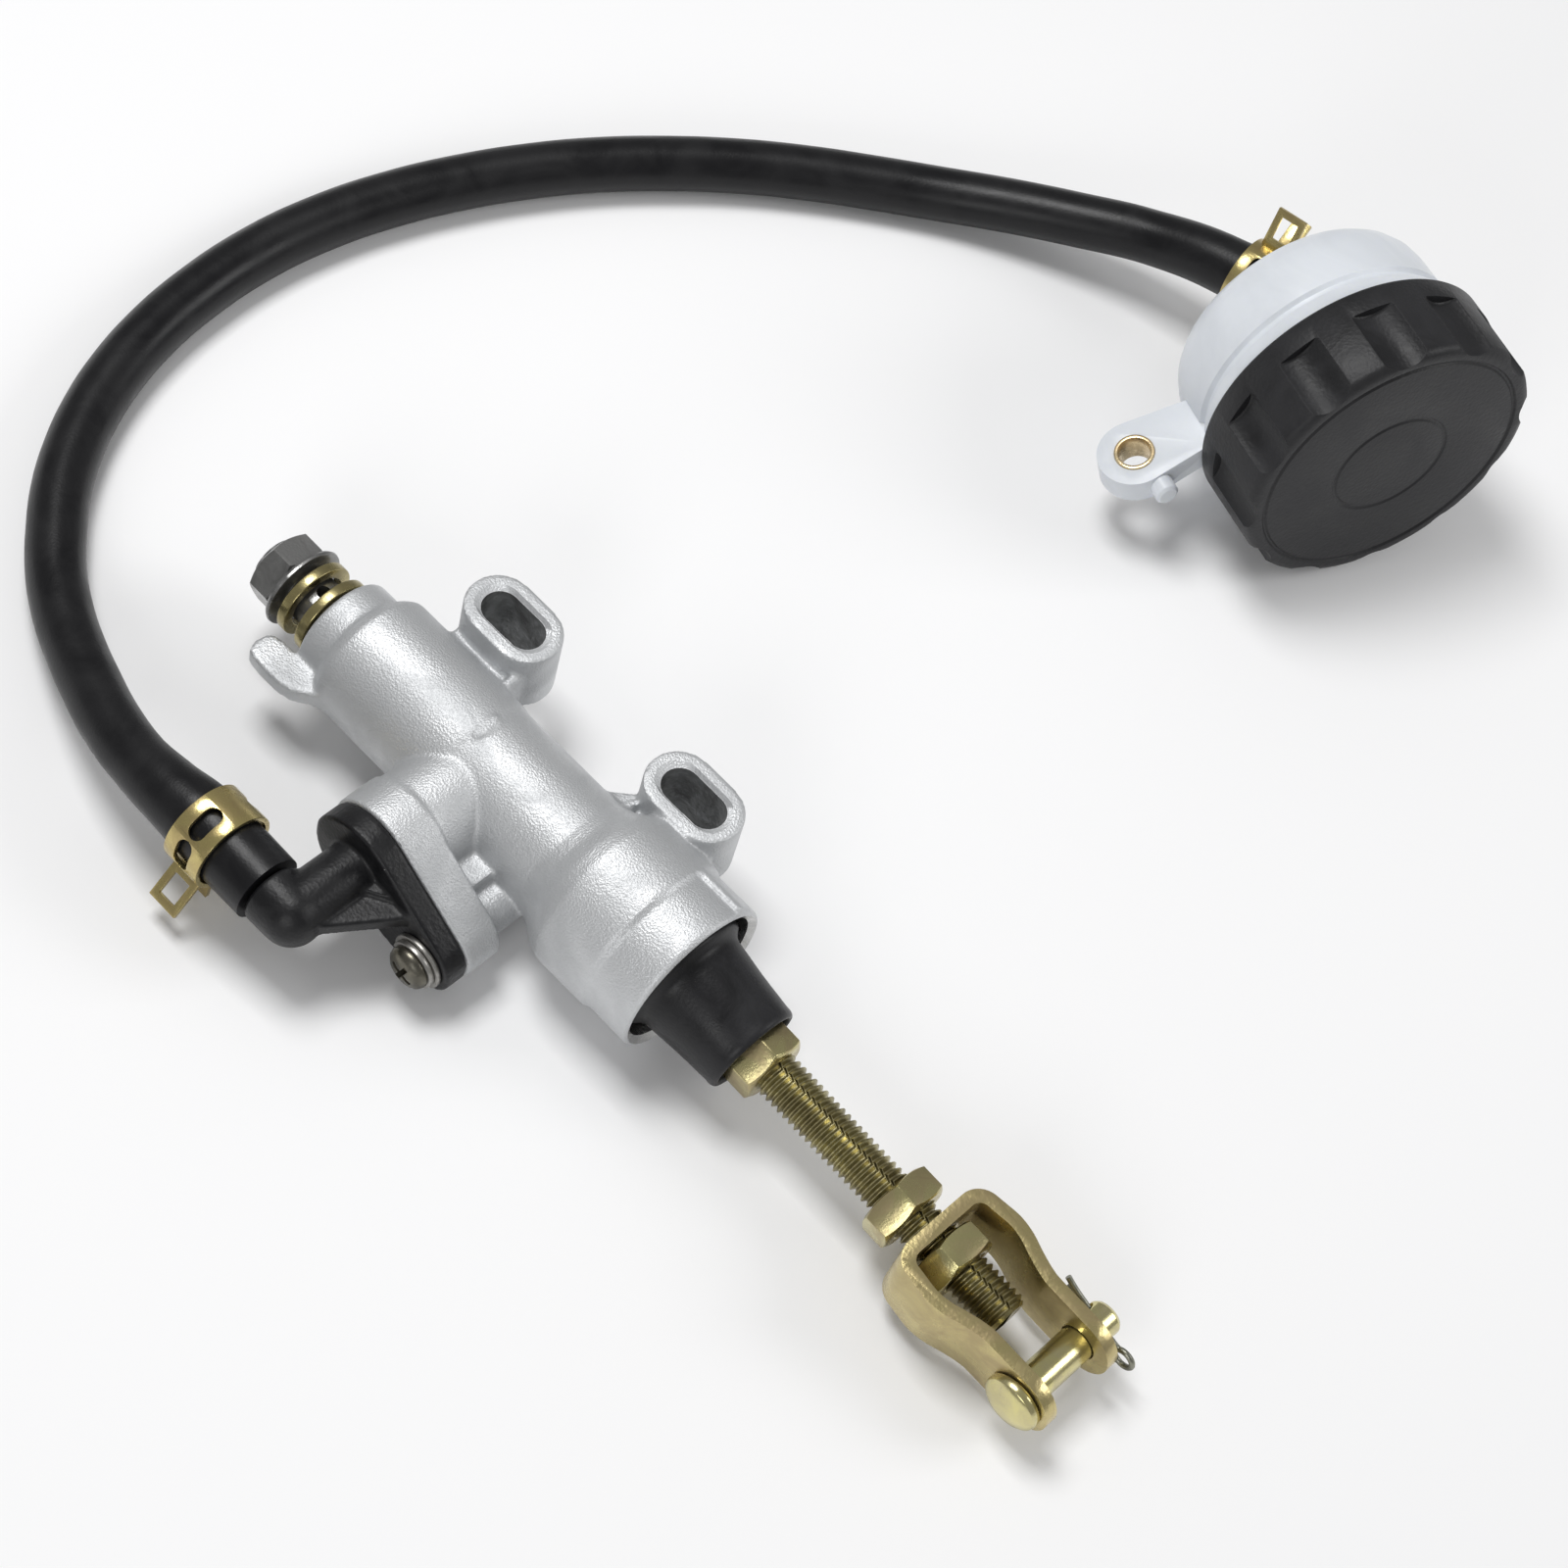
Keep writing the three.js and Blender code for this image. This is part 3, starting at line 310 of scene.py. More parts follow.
def first_point(name, place):
    """A plane primitive merged to one vertex at a place, left selected in edit mode."""
    bpy.ops.object.select_all(action="DESELECT")
    bpy.ops.mesh.primitive_plane_add(size=MM, location=place)
    piece = bpy.context.object
    piece.name = name
    bpy.ops.object.transform_apply(location=True, rotation=True, scale=True)
    bpy.ops.object.mode_set(mode="EDIT")
    bpy.ops.mesh.select_all(action="SELECT")
    bpy.ops.mesh.merge(type="CENTER")
    return piece


def drawn_on(steps):
    for step in steps:
        bpy.ops.mesh.extrude_vertices_move(TRANSFORM_OT_translate={"value": step})


def spun(name, centre, axis, across, profile, sides=64):
    """A profile of (along, radius) in millimetres, drawn point by point and spun once about an axis."""
    places = [centre + (axis * a + across * r) * MM for a, r in profile]
    piece = first_point(name, places[0])
    drawn_on([after - before for before, after in zip(places, places[1:])])
    bpy.ops.mesh.select_all(action="SELECT")
    bpy.ops.mesh.spin(steps=sides, angle=2 * math.pi, center=centre, axis=axis)
    bpy.ops.mesh.select_all(action="SELECT")
    bpy.ops.mesh.remove_doubles(threshold=2e-6)
    bpy.ops.mesh.normals_make_consistent(inside=False)
    bpy.ops.object.mode_set(mode="OBJECT")
    return piece


def pushed(name, centre, sides, outline, low, high, taper=1.0):
    """A flat outline in millimetres along the first two sides, pushed along the third from low to high."""
    u, v, w = sides
    places = [centre + (u * x + v * y + w * low) * MM for x, y in outline]
    piece = first_point(name, places[0])
    drawn_on([after - before for before, after in zip(places, places[1:])])
    bpy.ops.mesh.select_all(action="SELECT")
    bpy.ops.mesh.edge_face_add()
    bpy.ops.mesh.extrude_region_move(TRANSFORM_OT_translate={"value": w * (high - low) * MM})
    if taper != 1.0:
        bpy.ops.transform.resize(value=(taper, taper, taper), center_override=centre + w * high * MM)
    bpy.ops.mesh.select_all(action="SELECT")
    bpy.ops.mesh.normals_make_consistent(inside=False)
    bpy.ops.object.mode_set(mode="OBJECT")
    return piece


def arc(x, y, radius, start, stop, count):
    turns = [math.radians(start + (stop - start) * i / (count - 1)) for i in range(count)]
    return [(x + radius * math.cos(turn), y + radius * math.sin(turn)) for turn in turns]


def slot_outline(x, y, half_straight, half_width, count=17):
    return (arc(x + half_straight, y, half_width, -90, 90, count)
            + arc(x - half_straight, y, half_width, 90, 270, count))


def box_outline(x0, x1, y0, y1):
    return [(x0, y0), (x1, y0), (x1, y1), (x0, y1)]


def applied(piece, kind, **settings):
    """Adds one modifier with its settings and applies it."""
    modifier = piece.modifiers.new(kind.lower(), kind)
    for key, value in settings.items():
        setattr(modifier, key, value)
    alone(piece)
    bpy.ops.object.modifier_apply(modifier=modifier.name)
    return piece


def carved(piece, *tools, operation="DIFFERENCE"):
    for tool in tools:
        applied(piece, "BOOLEAN", object=tool, operation=operation, solver="EXACT",
                material_mode="TRANSFER")
        bpy.data.objects.remove(tool, do_unlink=True)
    return piece


def joined(pieces):
    bpy.ops.object.select_all(action="DESELECT")
    for piece in pieces:
        piece.select_set(True)
    bpy.context.view_layer.objects.active = pieces[0]
    bpy.ops.object.join()
    return pieces[0]


def eased(piece, width=0.25, segments=2, angle=32):
    """Takes the sharp edges off by a width in millimetres and shades the rest smooth."""
    if width:
        applied(piece, "BEVEL", width=width * MM, segments=segments, limit_method="ANGLE",
                angle_limit=math.radians(angle), harden_normals=False)
    alone(piece)
    bpy.ops.object.shade_smooth_by_angle(angle=math.radians(angle))
    return piece


def finished(piece, material, body, node):
    """Gives a piece its finish, its body and the CAD node that it stands for."""
    if material:
        piece.data.materials.clear()
        piece.data.materials.append(material)
    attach(piece, body)
    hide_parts(node)
    return piece


CLAMP_R = 6.55
CLAMP_THICK = 0.8
CLAMP_HALF = 3.75
yellow_band = finish("yellow plated band", (0.62, 0.52, 0.22), (0.46, 0.36, 0.17), 0.95, (0.2, 0.34),
                     drift=160, grain=3500, depth=0.01)


def spring_clamp(name, centre, axis, upright, hand=1):
    aside = axis.cross(upright)
    outer = CLAMP_R + CLAMP_THICK
    band = spun(name, centre, axis, upright, [
        (-CLAMP_HALF, CLAMP_R), (CLAMP_HALF, CLAMP_R), (CLAMP_HALF, outer), (-CLAMP_HALF, outer),
        (-CLAMP_HALF, CLAMP_R)], 72)
    windows = []
    for turn in (75, 130, 230, 285):
        way = upright * math.cos(math.radians(turn)) + aside * math.sin(math.radians(turn))
        windows.append(pushed("window", centre, (way.cross(axis), axis, way),
                              slot_outline(0, 0, 1.6, 1.5, 9), 4, 10))
    carved(band, *windows)
    tangs = []
    for lean, half, tall, hole in ((17 * hand, 2.9, 7.2, 1.7), (-17 * hand, 1.7, 6.6, 0)):
        way = upright * math.cos(math.radians(lean)) + aside * math.sin(math.radians(lean))
        side = way.cross(axis)
        tang = pushed("tang", centre, (axis, way, side),
                      box_outline(-half, half, outer - 0.7, outer + tall), -0.4, 0.4)
        if hole:
            carved(tang, pushed("loop hole", centre, (axis, way, side),
                                box_outline(-hole, hole, outer + 1.5, outer + tall - 1.3), -2, 2))
        tangs.append(tang)
    return eased(joined([band, *tangs]), 0.12, 2)


clamp_turn = math.radians(152)
lower_clamp = spring_clamp("lower_clamp", on_bore(-65, ELBOW_Y, 0), ALONG,
                           UP * math.cos(clamp_turn) - ACROSS * math.sin(clamp_turn), -1)
finished(lower_clamp, yellow_band, "cylinder", "hose_clamp_lower")
upper_turn = math.radians(140)
upper_clamp = spring_clamp("upper_clamp", on_spigot(-13), SPIGOT_AXIS,
                           RES_DOWN * math.cos(upper_turn) + SPIGOT_SIDE * math.sin(upper_turn))
finished(upper_clamp, yellow_band, "cylinder", "hose_clamp_upper")

# ---- Casting -------------------------------------------------------------------------------
# Aluminium sand casting, painted silver over its grain; the mouth and bore are machined bright, and the
# insides of the slots take a dark grey that is painted shade.
# Two slotted bosses stand on thin webs, a pear flange takes the elbow, and a finger stops the banjo turning.
LEVEL = (ALONG, ACROSS, UP)
FACING = (ALONG, UP, -ACROSS)
BOSS_Y = 17.8
SCREW_X = -31.5
SCREW_Z = -6.4
PORT_X = -47.5
JOINT_Y = -23.2


def pear_outline(x0, y0, r0, x1, y1, r1, count=25):
    """The outline round two circles, with straight tangents between them."""
    heading = math.degrees(math.atan2(y1 - y0, x1 - x0))
    lean = math.degrees(math.acos((r0 - r1) / math.hypot(x1 - x0, y1 - y0)))
    return (arc(x0, y0, r0, heading + lean, heading - lean + 360, count)
            + arc(x1, y1, r1, heading - lean, heading + lean, count))


def along_y(name, radius, y0, y1, x, z, sides=48, ease=0.0):
    centre = on_bore(x, 0, z)
    return spun(name, centre, ACROSS, UP, [
        (y0, 0), (y0, radius - ease), (y0 + ease, radius), (y1, radius), (y1, 0)], sides)


barrel = spun("casting", BORE, ALONG, UP, [
    (-83, 0), (-83, 8.5), (-82.5, 9.1), (-77.6, 9.2), (-76.9, 10.4), (-75.4, 11.5), (-64, 11.55),
    (-51, 11.5), (-49.6, 11.2), (-27.5, 11.3), (-25, 12.2), (-22.4, 13.9), (-20, 14.8), (-9.6, 14.7),
    (-9.2, 14.15), (-0.5, 14.2), (0, 13.7), (0, 0)], 96)
lumps = [barrel]
for boss_x in (-62.5, -20.5):
    boss = pushed("boss", on_bore(0, 0, 0), LEVEL, slot_outline(boss_x, BOSS_Y, 3.2, 5.95), -3.1, 10)
    lumps.append(boss)
lumps.append(pushed("web", BORE, LEVEL, [
    (-68.6, 6), (-55.4, 6), (-55.4, BOSS_Y), (-69.6, BOSS_Y)], -3.1, 4.6))
lumps.append(pushed("web", BORE, LEVEL, [
    (-34.5, 8), (-12.4, 8), (-12.4, BOSS_Y), (-26.5, BOSS_Y - 2)], -3.1, 4.4))
lumps.append(pushed("web rib", BORE, LEVEL, box_outline(-56.4, -54.9, 9, 15), -3.1, 6.4))
lumps.append(pushed("web rib", BORE, LEVEL, [(-28, 10), (-26.6, 10), (-26, 14), (-27, 14)], -3.1, 6))
lumps.append(along_y("inlet boss", 9.3, -18, -3, PORT_X, 0))
lumps.append(pushed("flange", BORE, FACING, pear_outline(PORT_X, 0, 9.8, SCREW_X, SCREW_Z, 6.3),
                    16.2, -JOINT_Y))
lumps.append(along_y("screw boss", 4.2, -17, -9, SCREW_X, SCREW_Z + 0.4))
lumps.append(pushed("flange rib", BORE, LEVEL, box_outline(-38, -33.4, -17, -11), -4, 0.6))
lumps.append(pushed("finger", BORE, LEVEL, [
    (-87.8, -14.8), (-88.6, -13), (-88.5, -10.9), (-87.4, -9.6), (-85, -9.3), (-82.6, -9.4),
    (-81.6, -7), (-75, -6), (-71, -9.3), (-74.6, -12), (-77.8, -14.5), (-80.6, -15.2), (-84.6, -15.3)],
    -2.6, 0.8))
lumps.append(pushed("finger root", BORE, LEVEL, [(-79, -12.4), (-70, -9), (-66, -7), (-78, -6)], -5, 0.8))
for turn in (-35, 158):
    away = UP * math.cos(math.radians(turn)) - ACROSS * math.sin(math.radians(turn))
    lumps.append(pushed("skirt rib", BORE, (ALONG, ALONG.cross(away), away), [
        (-9.6, -0.9), (-0.7, -0.9), (-0.7, 0.9), (-9.6, 0.9)], 0, 15))
lumps.append(pushed("foot", BORE, LEVEL, box_outline(-76, -62, -3.2, 3.2), -14.8, -6))
lumps.append(pushed("scar", BORE, LEVEL, [
    (-50.4, -1.6), (-49.2, -2.6), (-48.4, -0.6), (-48.8, 2.2), (-50, 3), (-50.6, 0.8)], 8, 11.62))
casting = joined(lumps)
applied(casting, "REMESH", mode="VOXEL", voxel_size=0.42 * MM)
applied(casting, "SMOOTH", factor=0.5, iterations=4)

casting_paint = finish("silver cast paint", (0.6, 0.61, 0.62), (0.52, 0.53, 0.54), 0.7, (0.44, 0.58),
                       drift=70, grain=4600, depth=0.06)
machined = finish("machined aluminium", (0.82, 0.82, 0.81), (0.66, 0.66, 0.65), 0.95, (0.2, 0.32),
                  drift=200, grain=4500, depth=0.006)
# Dark grey for the insides of the boss slots: painted shade standing in for the shadow inside each slot.
painted_shade_slot_wall = finish("slot wall painted shade", (0.2, 0.21, 0.21), (0.12, 0.12, 0.12), 0.5, (0.45, 0.6),
                     drift=200, grain=2200, depth=0.06)
casting.data.materials.clear()
casting.data.materials.append(casting_paint)


def tool_of(material, tool):
    tool.data.materials.clear()
    tool.data.materials.append(material)
    return tool


tools = [
    tool_of(machined, spun("mouth", BORE, ALONG, UP, [
        (3, 0), (3, 13.6), (-0.1, 13.6), (-0.9, 12.5), (-15.5, 12.4), (-16.5, 11.4), (-16.5, 0)], 96)),
    tool_of(machined, spun("port", BORE, ALONG, UP, [
        (-85, 0), (-85, 5.6), (-82.9, 5.6), (-82.2, 4.9), (-73.5, 4.9), (-73.5, 0)], 64)),
    tool_of(machined, spun("bore", BORE, ALONG, UP, [(-72, 0), (-72, 6.35), (-12, 6.35), (-12, 0)], 64)),
    tool_of(machined, along_y("seal seat", 6.6, JOINT_Y - 2, JOINT_Y + 2.2, PORT_X, 0)),
    tool_of(machined, along_y("screw hole", 2.5, JOINT_Y - 2, -11, SCREW_X, SCREW_Z, 32)),
]
for boss_x in (-62.5, -20.5):
    boss_middle = on_bore(boss_x, BOSS_Y)
    # The slot cutter carries the dark painted shade onto the slot's inner faces.
    tools.append(tool_of(painted_shade_slot_wall, pushed("slot", boss_middle, LEVEL,
                                             slot_outline(0, 0, 2.9, 3.3), -6, 12)))
    tools.append(tool_of(casting_paint, pushed("slot rim", boss_middle, LEVEL,
                                               slot_outline(0, 0, 2.93, 3.35), 9.3, 10.6, taper=1.3)))
carved(casting, *tools)
eased(casting, 0, angle=40)
finished(casting, None, "cylinder", "cylinder_body")

# ---- Inlet elbow and its screw -------------------------------------------------------------
# Black glass-filled nylon elbow with a pear flange and a gusset, moulded in one.
# A pan-head screw with a cross recess holds it over a spring washer and a flat washer.
ELBOW_FRONT = -27.4
black_nylon = finish("black nylon", (0.007, 0.007, 0.008), (0.014, 0.014, 0.015), 0, (0.32, 0.46),
                     drift=140, grain=2600, depth=0.03, dust=0.015)
dulled(black_nylon, 0.3)
elbow = joined([
    pushed("elbow", BORE, FACING, pear_outline(PORT_X, 0, 9.5, SCREW_X, SCREW_Z, 6.1),
           -JOINT_Y + 0.15, -ELBOW_FRONT),
    along_y("elbow neck", 5.0, ELBOW_Y, ELBOW_FRONT + 1, PORT_X, 0),
    spun("elbow bulb", on_bore(PORT_X, ELBOW_Y, 0), ALONG, UP,
         [(5.2 * math.cos(t * math.pi / 16), 5.2 * math.sin(t * math.pi / 16)) for t in range(17)], 40),
    spun("elbow arm", on_bore(0, ELBOW_Y, 0), ALONG, UP,
         [(-52.7, 0), (-52.7, 4.9), (-52.2, 5.3), (PORT_X, 5.2), (PORT_X, 0)], 48),
    spun("elbow spigot", on_bore(0, ELBOW_Y, 0), ALONG, UP,
         [(-69.8, 0), (-69.8, 2.8), (-67, 3.4), (-52, 3.4), (-52, 0)], 40),
    pushed("gusset", BORE, LEVEL, [(PORT_X - 1, ELBOW_Y - 4.4), (PORT_X + 1.6, ELBOW_Y - 4),
                                   (PORT_X + 13.4, -26), (PORT_X - 1, -26)], -1.2, 1.5),
    pushed("gusset foot", BORE, LEVEL, [(PORT_X + 3, -31), (PORT_X + 9.5, -27), (PORT_X + 3, -27)],
           -2.2, 2.4)])
applied(elbow, "REMESH", mode="VOXEL", voxel_size=0.34 * MM)
applied(elbow, "SMOOTH", factor=0.5, iterations=6)
carved(elbow, along_y("screw way", 2.6, -30, -20, SCREW_X, SCREW_Z, 32))
eased(elbow, 0, angle=50)
finished(elbow, black_nylon, "cylinder", "inlet_elbow")

gun_metal = finish("gunmetal screw", (0.16, 0.15, 0.12), (0.09, 0.085, 0.07), 0.9, (0.28, 0.42),
                   drift=400, grain=5000, depth=0.01)
grey_steel = finish("grey steel", (0.42, 0.41, 0.39), (0.3, 0.29, 0.27), 0.92, (0.28, 0.42),
                    drift=300, grain=5000, depth=0.008)
SCREW_AXIS = on_bore(SCREW_X, 0, SCREW_Z)
washer_out = ELBOW_FRONT - 0.9
spring_out = washer_out - 1
screw = spun("elbow_screw_head", SCREW_AXIS, ACROSS, UP, [
    (-12, 0), (-12, 2.1), (spring_out - 0.1, 2.1), (spring_out - 0.1, 3.8), (spring_out - 0.6, 3.85),
    (spring_out - 1.3, 3.55), (spring_out - 1.9, 2.8), (spring_out - 2.25, 1.5), (spring_out - 2.3, 0)],
    48)
for turn in (20, 110):
    blade_way = UP * math.cos(math.radians(turn)) + ALONG * math.sin(math.radians(turn))
    blade_side = blade_way.cross(ACROSS)
    carved(screw, pushed("recess", SCREW_AXIS, (blade_way, blade_side, -ACROSS),
                         box_outline(-2.2, 2.2, -0.45, 0.45), -spring_out + 0.5, -spring_out + 4))
eased(screw, 0.1)
finished(screw, gun_metal, "cylinder", "elbow_screw")
spring_washer = spun("spring_washer", SCREW_AXIS, ACROSS, UP, [
    (spring_out, 2.5), (spring_out, 4.3), (washer_out - 0.1, 4.3), (washer_out - 0.1, 2.5),
    (spring_out, 2.5)], 48)
carved(spring_washer, pushed("split", SCREW_AXIS, LEVEL, box_outline(-5, -2, -31, -27), -0.35, 0.35))
eased(spring_washer, 0.1)
finished(spring_washer, grey_steel, "cylinder", "elbow_spring_washer")
flat_washer = spun("flat_washer", SCREW_AXIS, ACROSS, UP, [
    (washer_out, 2.5), (washer_out, 4.9), (ELBOW_FRONT - 0.1, 4.9), (ELBOW_FRONT - 0.1, 2.5),
    (washer_out, 2.5)], 56)
eased(flat_washer, 0.12)
finished(flat_washer, grey_steel, "cylinder", "elbow_flat_washer")

# ---- Banjo bolt and its washers ------------------------------------------------------------
# Grey steel bolt with a short flanged hexagon, drilled across and up its middle for the fluid.
# Two olive-gold sealing washers ride on its shank, with room for the brake line's banjo between them.
black_steel = finish("oiled black steel", (0.27, 0.27, 0.265), (0.17, 0.168, 0.165), 0.85, (0.26, 0.4),
                     drift=260, grain=4000, depth=0.012)
olive_washer = finish("olive gold washer", (0.42, 0.36, 0.17), (0.28, 0.24, 0.12), 0.95, (0.22, 0.36),
                      drift=320, grain=4500, depth=0.01)


def hexagon(name, centre, axis, across, flats, low, high, drop=0.7, turn=0.0):
    """A hexagonal blank whose corners are turned off to a shallow cone at both ends."""
    corner = flats / math.sqrt(3)
    side = axis.cross(across)
    spoke = across * math.cos(math.radians(turn)) + side * math.sin(math.radians(turn))
    blank = spun(name, centre, axis, spoke, [(low, 0), (low, corner), (high, corner), (high, 0)], 6)
    turned = spun("chamfer", centre, axis, across, [
        (low, 0), (low, flats / 2 * 0.95), (low + drop, corner * 1.02), (high - drop, corner * 1.02),
        (high, flats / 2 * 0.95), (high, 0)], 72)
    return carved(blank, turned, operation="INTERSECT")


banjo = hexagon("banjo_bolt_head", BORE, ALONG, UP, 12, -98, -92.5, drop=0.9, turn=18)
carved(banjo, spun("flange", BORE, ALONG, UP, [
    (-92.9, 0), (-92.9, 6.6), (-92.6, 7.3), (-92.1, 7.6), (-91.7, 7.5), (-91.6, 7.2), (-91.6, 4.4),
    (-74.6, 4.4), (-74, 3.8), (-74, 0)], 64), operation="UNION")
carved(banjo,
       spun("fluid way", BORE, ALONG, UP, [(-89, 0), (-89, 1.7), (-70, 1.7), (-70, 0)], 24),
       spun("cross way", on_bore(-87.2, 0, 0), UP, ALONG, [(-8, 0), (-8, 1.2), (8, 1.2), (8, 0)], 24),
       spun("head dish", BORE, ALONG, UP, [(-99, 0), (-99, 4.1), (-97.7, 3.7), (-97.6, 0)], 48))
eased(banjo, 0.15)
finished(banjo, black_steel, "cylinder", "banjo_bolt")
for node, low, high, outer in (("banjo_washer_outer", -90.3, -88.5, 7.0),
                               ("banjo_washer_inner", -85.8, -84, 7.2)):
    washer = spun(node + "_ring", BORE, ALONG, UP, [
        (low, 5), (low, outer), (high, outer), (high, 5), (low, 5)], 72)
    eased(washer, 0.22, 3)
    finished(washer, olive_washer, "cylinder", node)

# ---- Dust boot -----------------------------------------------------------------------------
# Black rubber cup with a wide rim inside the mouth, narrowing to a rounded lip that grips the rod's hexagon.
boot_rubber = finish("boot rubber", (0.008, 0.008, 0.009), (0.016, 0.016, 0.018), 0, (0.34, 0.5),
                     drift=110, grain=3000, depth=0.016, dust=0.015)
dulled(boot_rubber, 0.3)
BOOT_TILT = math.radians(6.5)
boot_axis = Vector((math.cos(BOOT_TILT), 0, -math.sin(BOOT_TILT)))
boot_side = Vector((math.sin(BOOT_TILT), 0, math.cos(BOOT_TILT)))
boot = spun("dust_boot", on_bore(-3.2, 0, -0.4), boot_axis, boot_side, [
    (0, 6.9), (0, 10.9), (0.3, 11.25), (1.2, 11.3), (1.6, 11.1), (2.2, 10.2), (2.8, 9.75), (3.6, 9.55),
    (5, 9.5), (9.7, 9.05), (14, 8.6), (15.8, 8.4), (16.4, 8.45), (17.1, 8.35), (17.55, 8.0),
    (17.6, 7.5), (17.2, 7.25), (15, 7.2), (3, 7.2), (2, 6.9), (0, 6.9)], 72)
for vertex in boot.data.vertices:
    reach = vertex.co - on_bore(-3.2, 0, -0.4)
    run = reach.dot(boot_axis) / MM
    if 3 < run < 15:
        turn = math.atan2(reach.dot(ACROSS), reach.dot(boot_side))
        dent = 0.22 * math.sin(2 * turn + run * 0.25) * math.sin((run - 3) / 12 * math.pi)
        vertex.co += (ACROSS * math.sin(turn) + boot_side * math.cos(turn)) * dent * MM
applied(boot, "SUBSURF", levels=1, render_levels=1)
eased(boot, 0, angle=60)
boot.data.materials.append(boot_rubber)
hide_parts("boot")
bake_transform(boot)

# ---- Push rod and its nuts -----------------------------------------------------------------
# M8 steel rod, olive plated, with a ball at the piston's end and a hexagon to turn it by.
# Its rolled thread runs from the hexagon through two nuts that lock the clevis between them.
BALL = Vector(joints["rod_swivel"]["pos_m"])
ROD_WAY = Vector(joints["clevis_turn"]["axis"]).normalized()
ROD_TOP = ROD_WAY.cross(ACROSS)
ROD_ORIGIN = BALL + ROD_WAY * 26 * MM
PITCH = 1.25
CREST_R = 3.95
ROOT_R = 3.32
ROD_END = 70.5
olive_rod = finish("olive plated rod", (0.4, 0.36, 0.19), (0.22, 0.19, 0.1), 0.95, (0.26, 0.42),
                   drift=260, grain=3500, depth=0.012)
yellow_nut = finish("yellow plated nut", (0.58, 0.53, 0.26), (0.44, 0.36, 0.2), 0.95, (0.2, 0.36),
                    drift=150, grain=3500, depth=0.012)


def thread(name, low, high, sides=48):
    """A rolled thread: one tooth's profile repeated, spun, and led forward by its pitch in each turn."""
    teeth = math.ceil((high - low) / PITCH) + 2
    profile = []
    for tooth in range(teeth):
        foot = low - PITCH + tooth * PITCH
        profile += [(foot, ROOT_R), (foot + 0.12, ROOT_R), (foot + 0.56, CREST_R),
                    (foot + 0.72, CREST_R), (foot + 1.16, ROOT_R)]
    places = [ROD_ORIGIN + (ROD_WAY * a + ROD_TOP * r) * MM for a, r in profile]
    piece = first_point(name, places[0])
    drawn_on([after - before for before, after in zip(places, places[1:])])
    bpy.ops.mesh.select_all(action="SELECT")
    bpy.ops.mesh.spin(steps=sides, angle=2 * math.pi, center=ROD_ORIGIN, axis=ROD_WAY)
    bpy.ops.object.mode_set(mode="OBJECT")
    row = len(profile)
    for index, vertex in enumerate(piece.data.vertices):
        vertex.co += ROD_WAY * PITCH * MM * (index // row) / sides
    bpy.ops.object.mode_set(mode="EDIT")
    bpy.ops.mesh.select_all(action="SELECT")
    bpy.ops.mesh.remove_doubles(threshold=2e-6)
    for end, clear in ((low, True), (high, False)):
        bpy.ops.mesh.select_all(action="SELECT")
        bpy.ops.mesh.bisect(plane_co=ROD_ORIGIN + ROD_WAY * end * MM, plane_no=ROD_WAY, use_fill=True,
                            clear_inner=clear, clear_outer=not clear)
    bpy.ops.mesh.select_all(action="SELECT")
    bpy.ops.mesh.normals_make_consistent(inside=False)
    bpy.ops.object.mode_set(mode="OBJECT")
    return piece


rod = thread("threaded_rod", 18.4, ROD_END)
carved(rod, spun("point", ROD_ORIGIN, ROD_WAY, ROD_TOP, [
    (10, 0), (10, 6), (ROD_END - 1, 4.1), (ROD_END, 3.1), (ROD_END, 0)], 48), operation="INTERSECT")
eased(rod, 0, angle=28)
finished(rod, olive_rod, "rod", "push_rod")
rod_hex = hexagon("rod_hexagon", ROD_ORIGIN, ROD_WAY, ROD_TOP, 11, 12.6, 18.9, turn=8)
eased(rod_hex, 0.18)
rod_hex.data.materials.clear()
rod_hex.data.materials.append(yellow_nut)
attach(rod_hex, "rod")
shank = spun("rod_shank", ROD_ORIGIN, ROD_WAY, ROD_TOP, [
    (-30.8, 0), (-30.6, 1.4), (-29.4, 3.4), (-27.6, 4.55), (-26, 4.8), (-24.4, 4.55), (-22.6, 3.4),
    (-22.2, 2.7), (12.5, 2.7), (12.5, 0)], 48)
eased(shank, 0, angle=40)
shank.data.materials.append(olive_rod)
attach(shank, "rod")
CLEVIS_X = 52.6
CLEVIS_THICK = 2.3
for node, low, turn in (("lock_nut", 44.8, 12), ("clevis_nut", CLEVIS_X + CLEVIS_THICK + 0.9, 26)):
    nut = hexagon(node + "_hex", ROD_ORIGIN, ROD_WAY, ROD_TOP, 12, low, low + 5.2, turn=turn)
    carved(nut, spun("nut hole", ROD_ORIGIN, ROD_WAY, ROD_TOP, [
        (low - 1, 0), (low - 1, 4.9), (low + 0.5, 4.02), (low + 4.7, 4.02), (low + 6.2, 4.9),
        (low + 6.2, 0)], 48))
    eased(nut, 0.16)
    finished(nut, yellow_nut, "rod", node)

# ---- Clevis, pin and split pin -------------------------------------------------------------
# One strap of 2.3 mm steel bent to a U whose arms belly out and draw in to the pedal's eye, yellow plated.
# A headed pin crosses the jaw, kept by a split pin through its end.
CLEVIS_HALF = 6
PIN = Vector(joints["pin_turn"]["pos_m"])
PIN_X = 80
yellow_strap = finish("yellow plated strap", (0.62, 0.53, 0.25), (0.47, 0.38, 0.2), 0.95, (0.22, 0.36),
                      drift=110, grain=2800, depth=0.02)


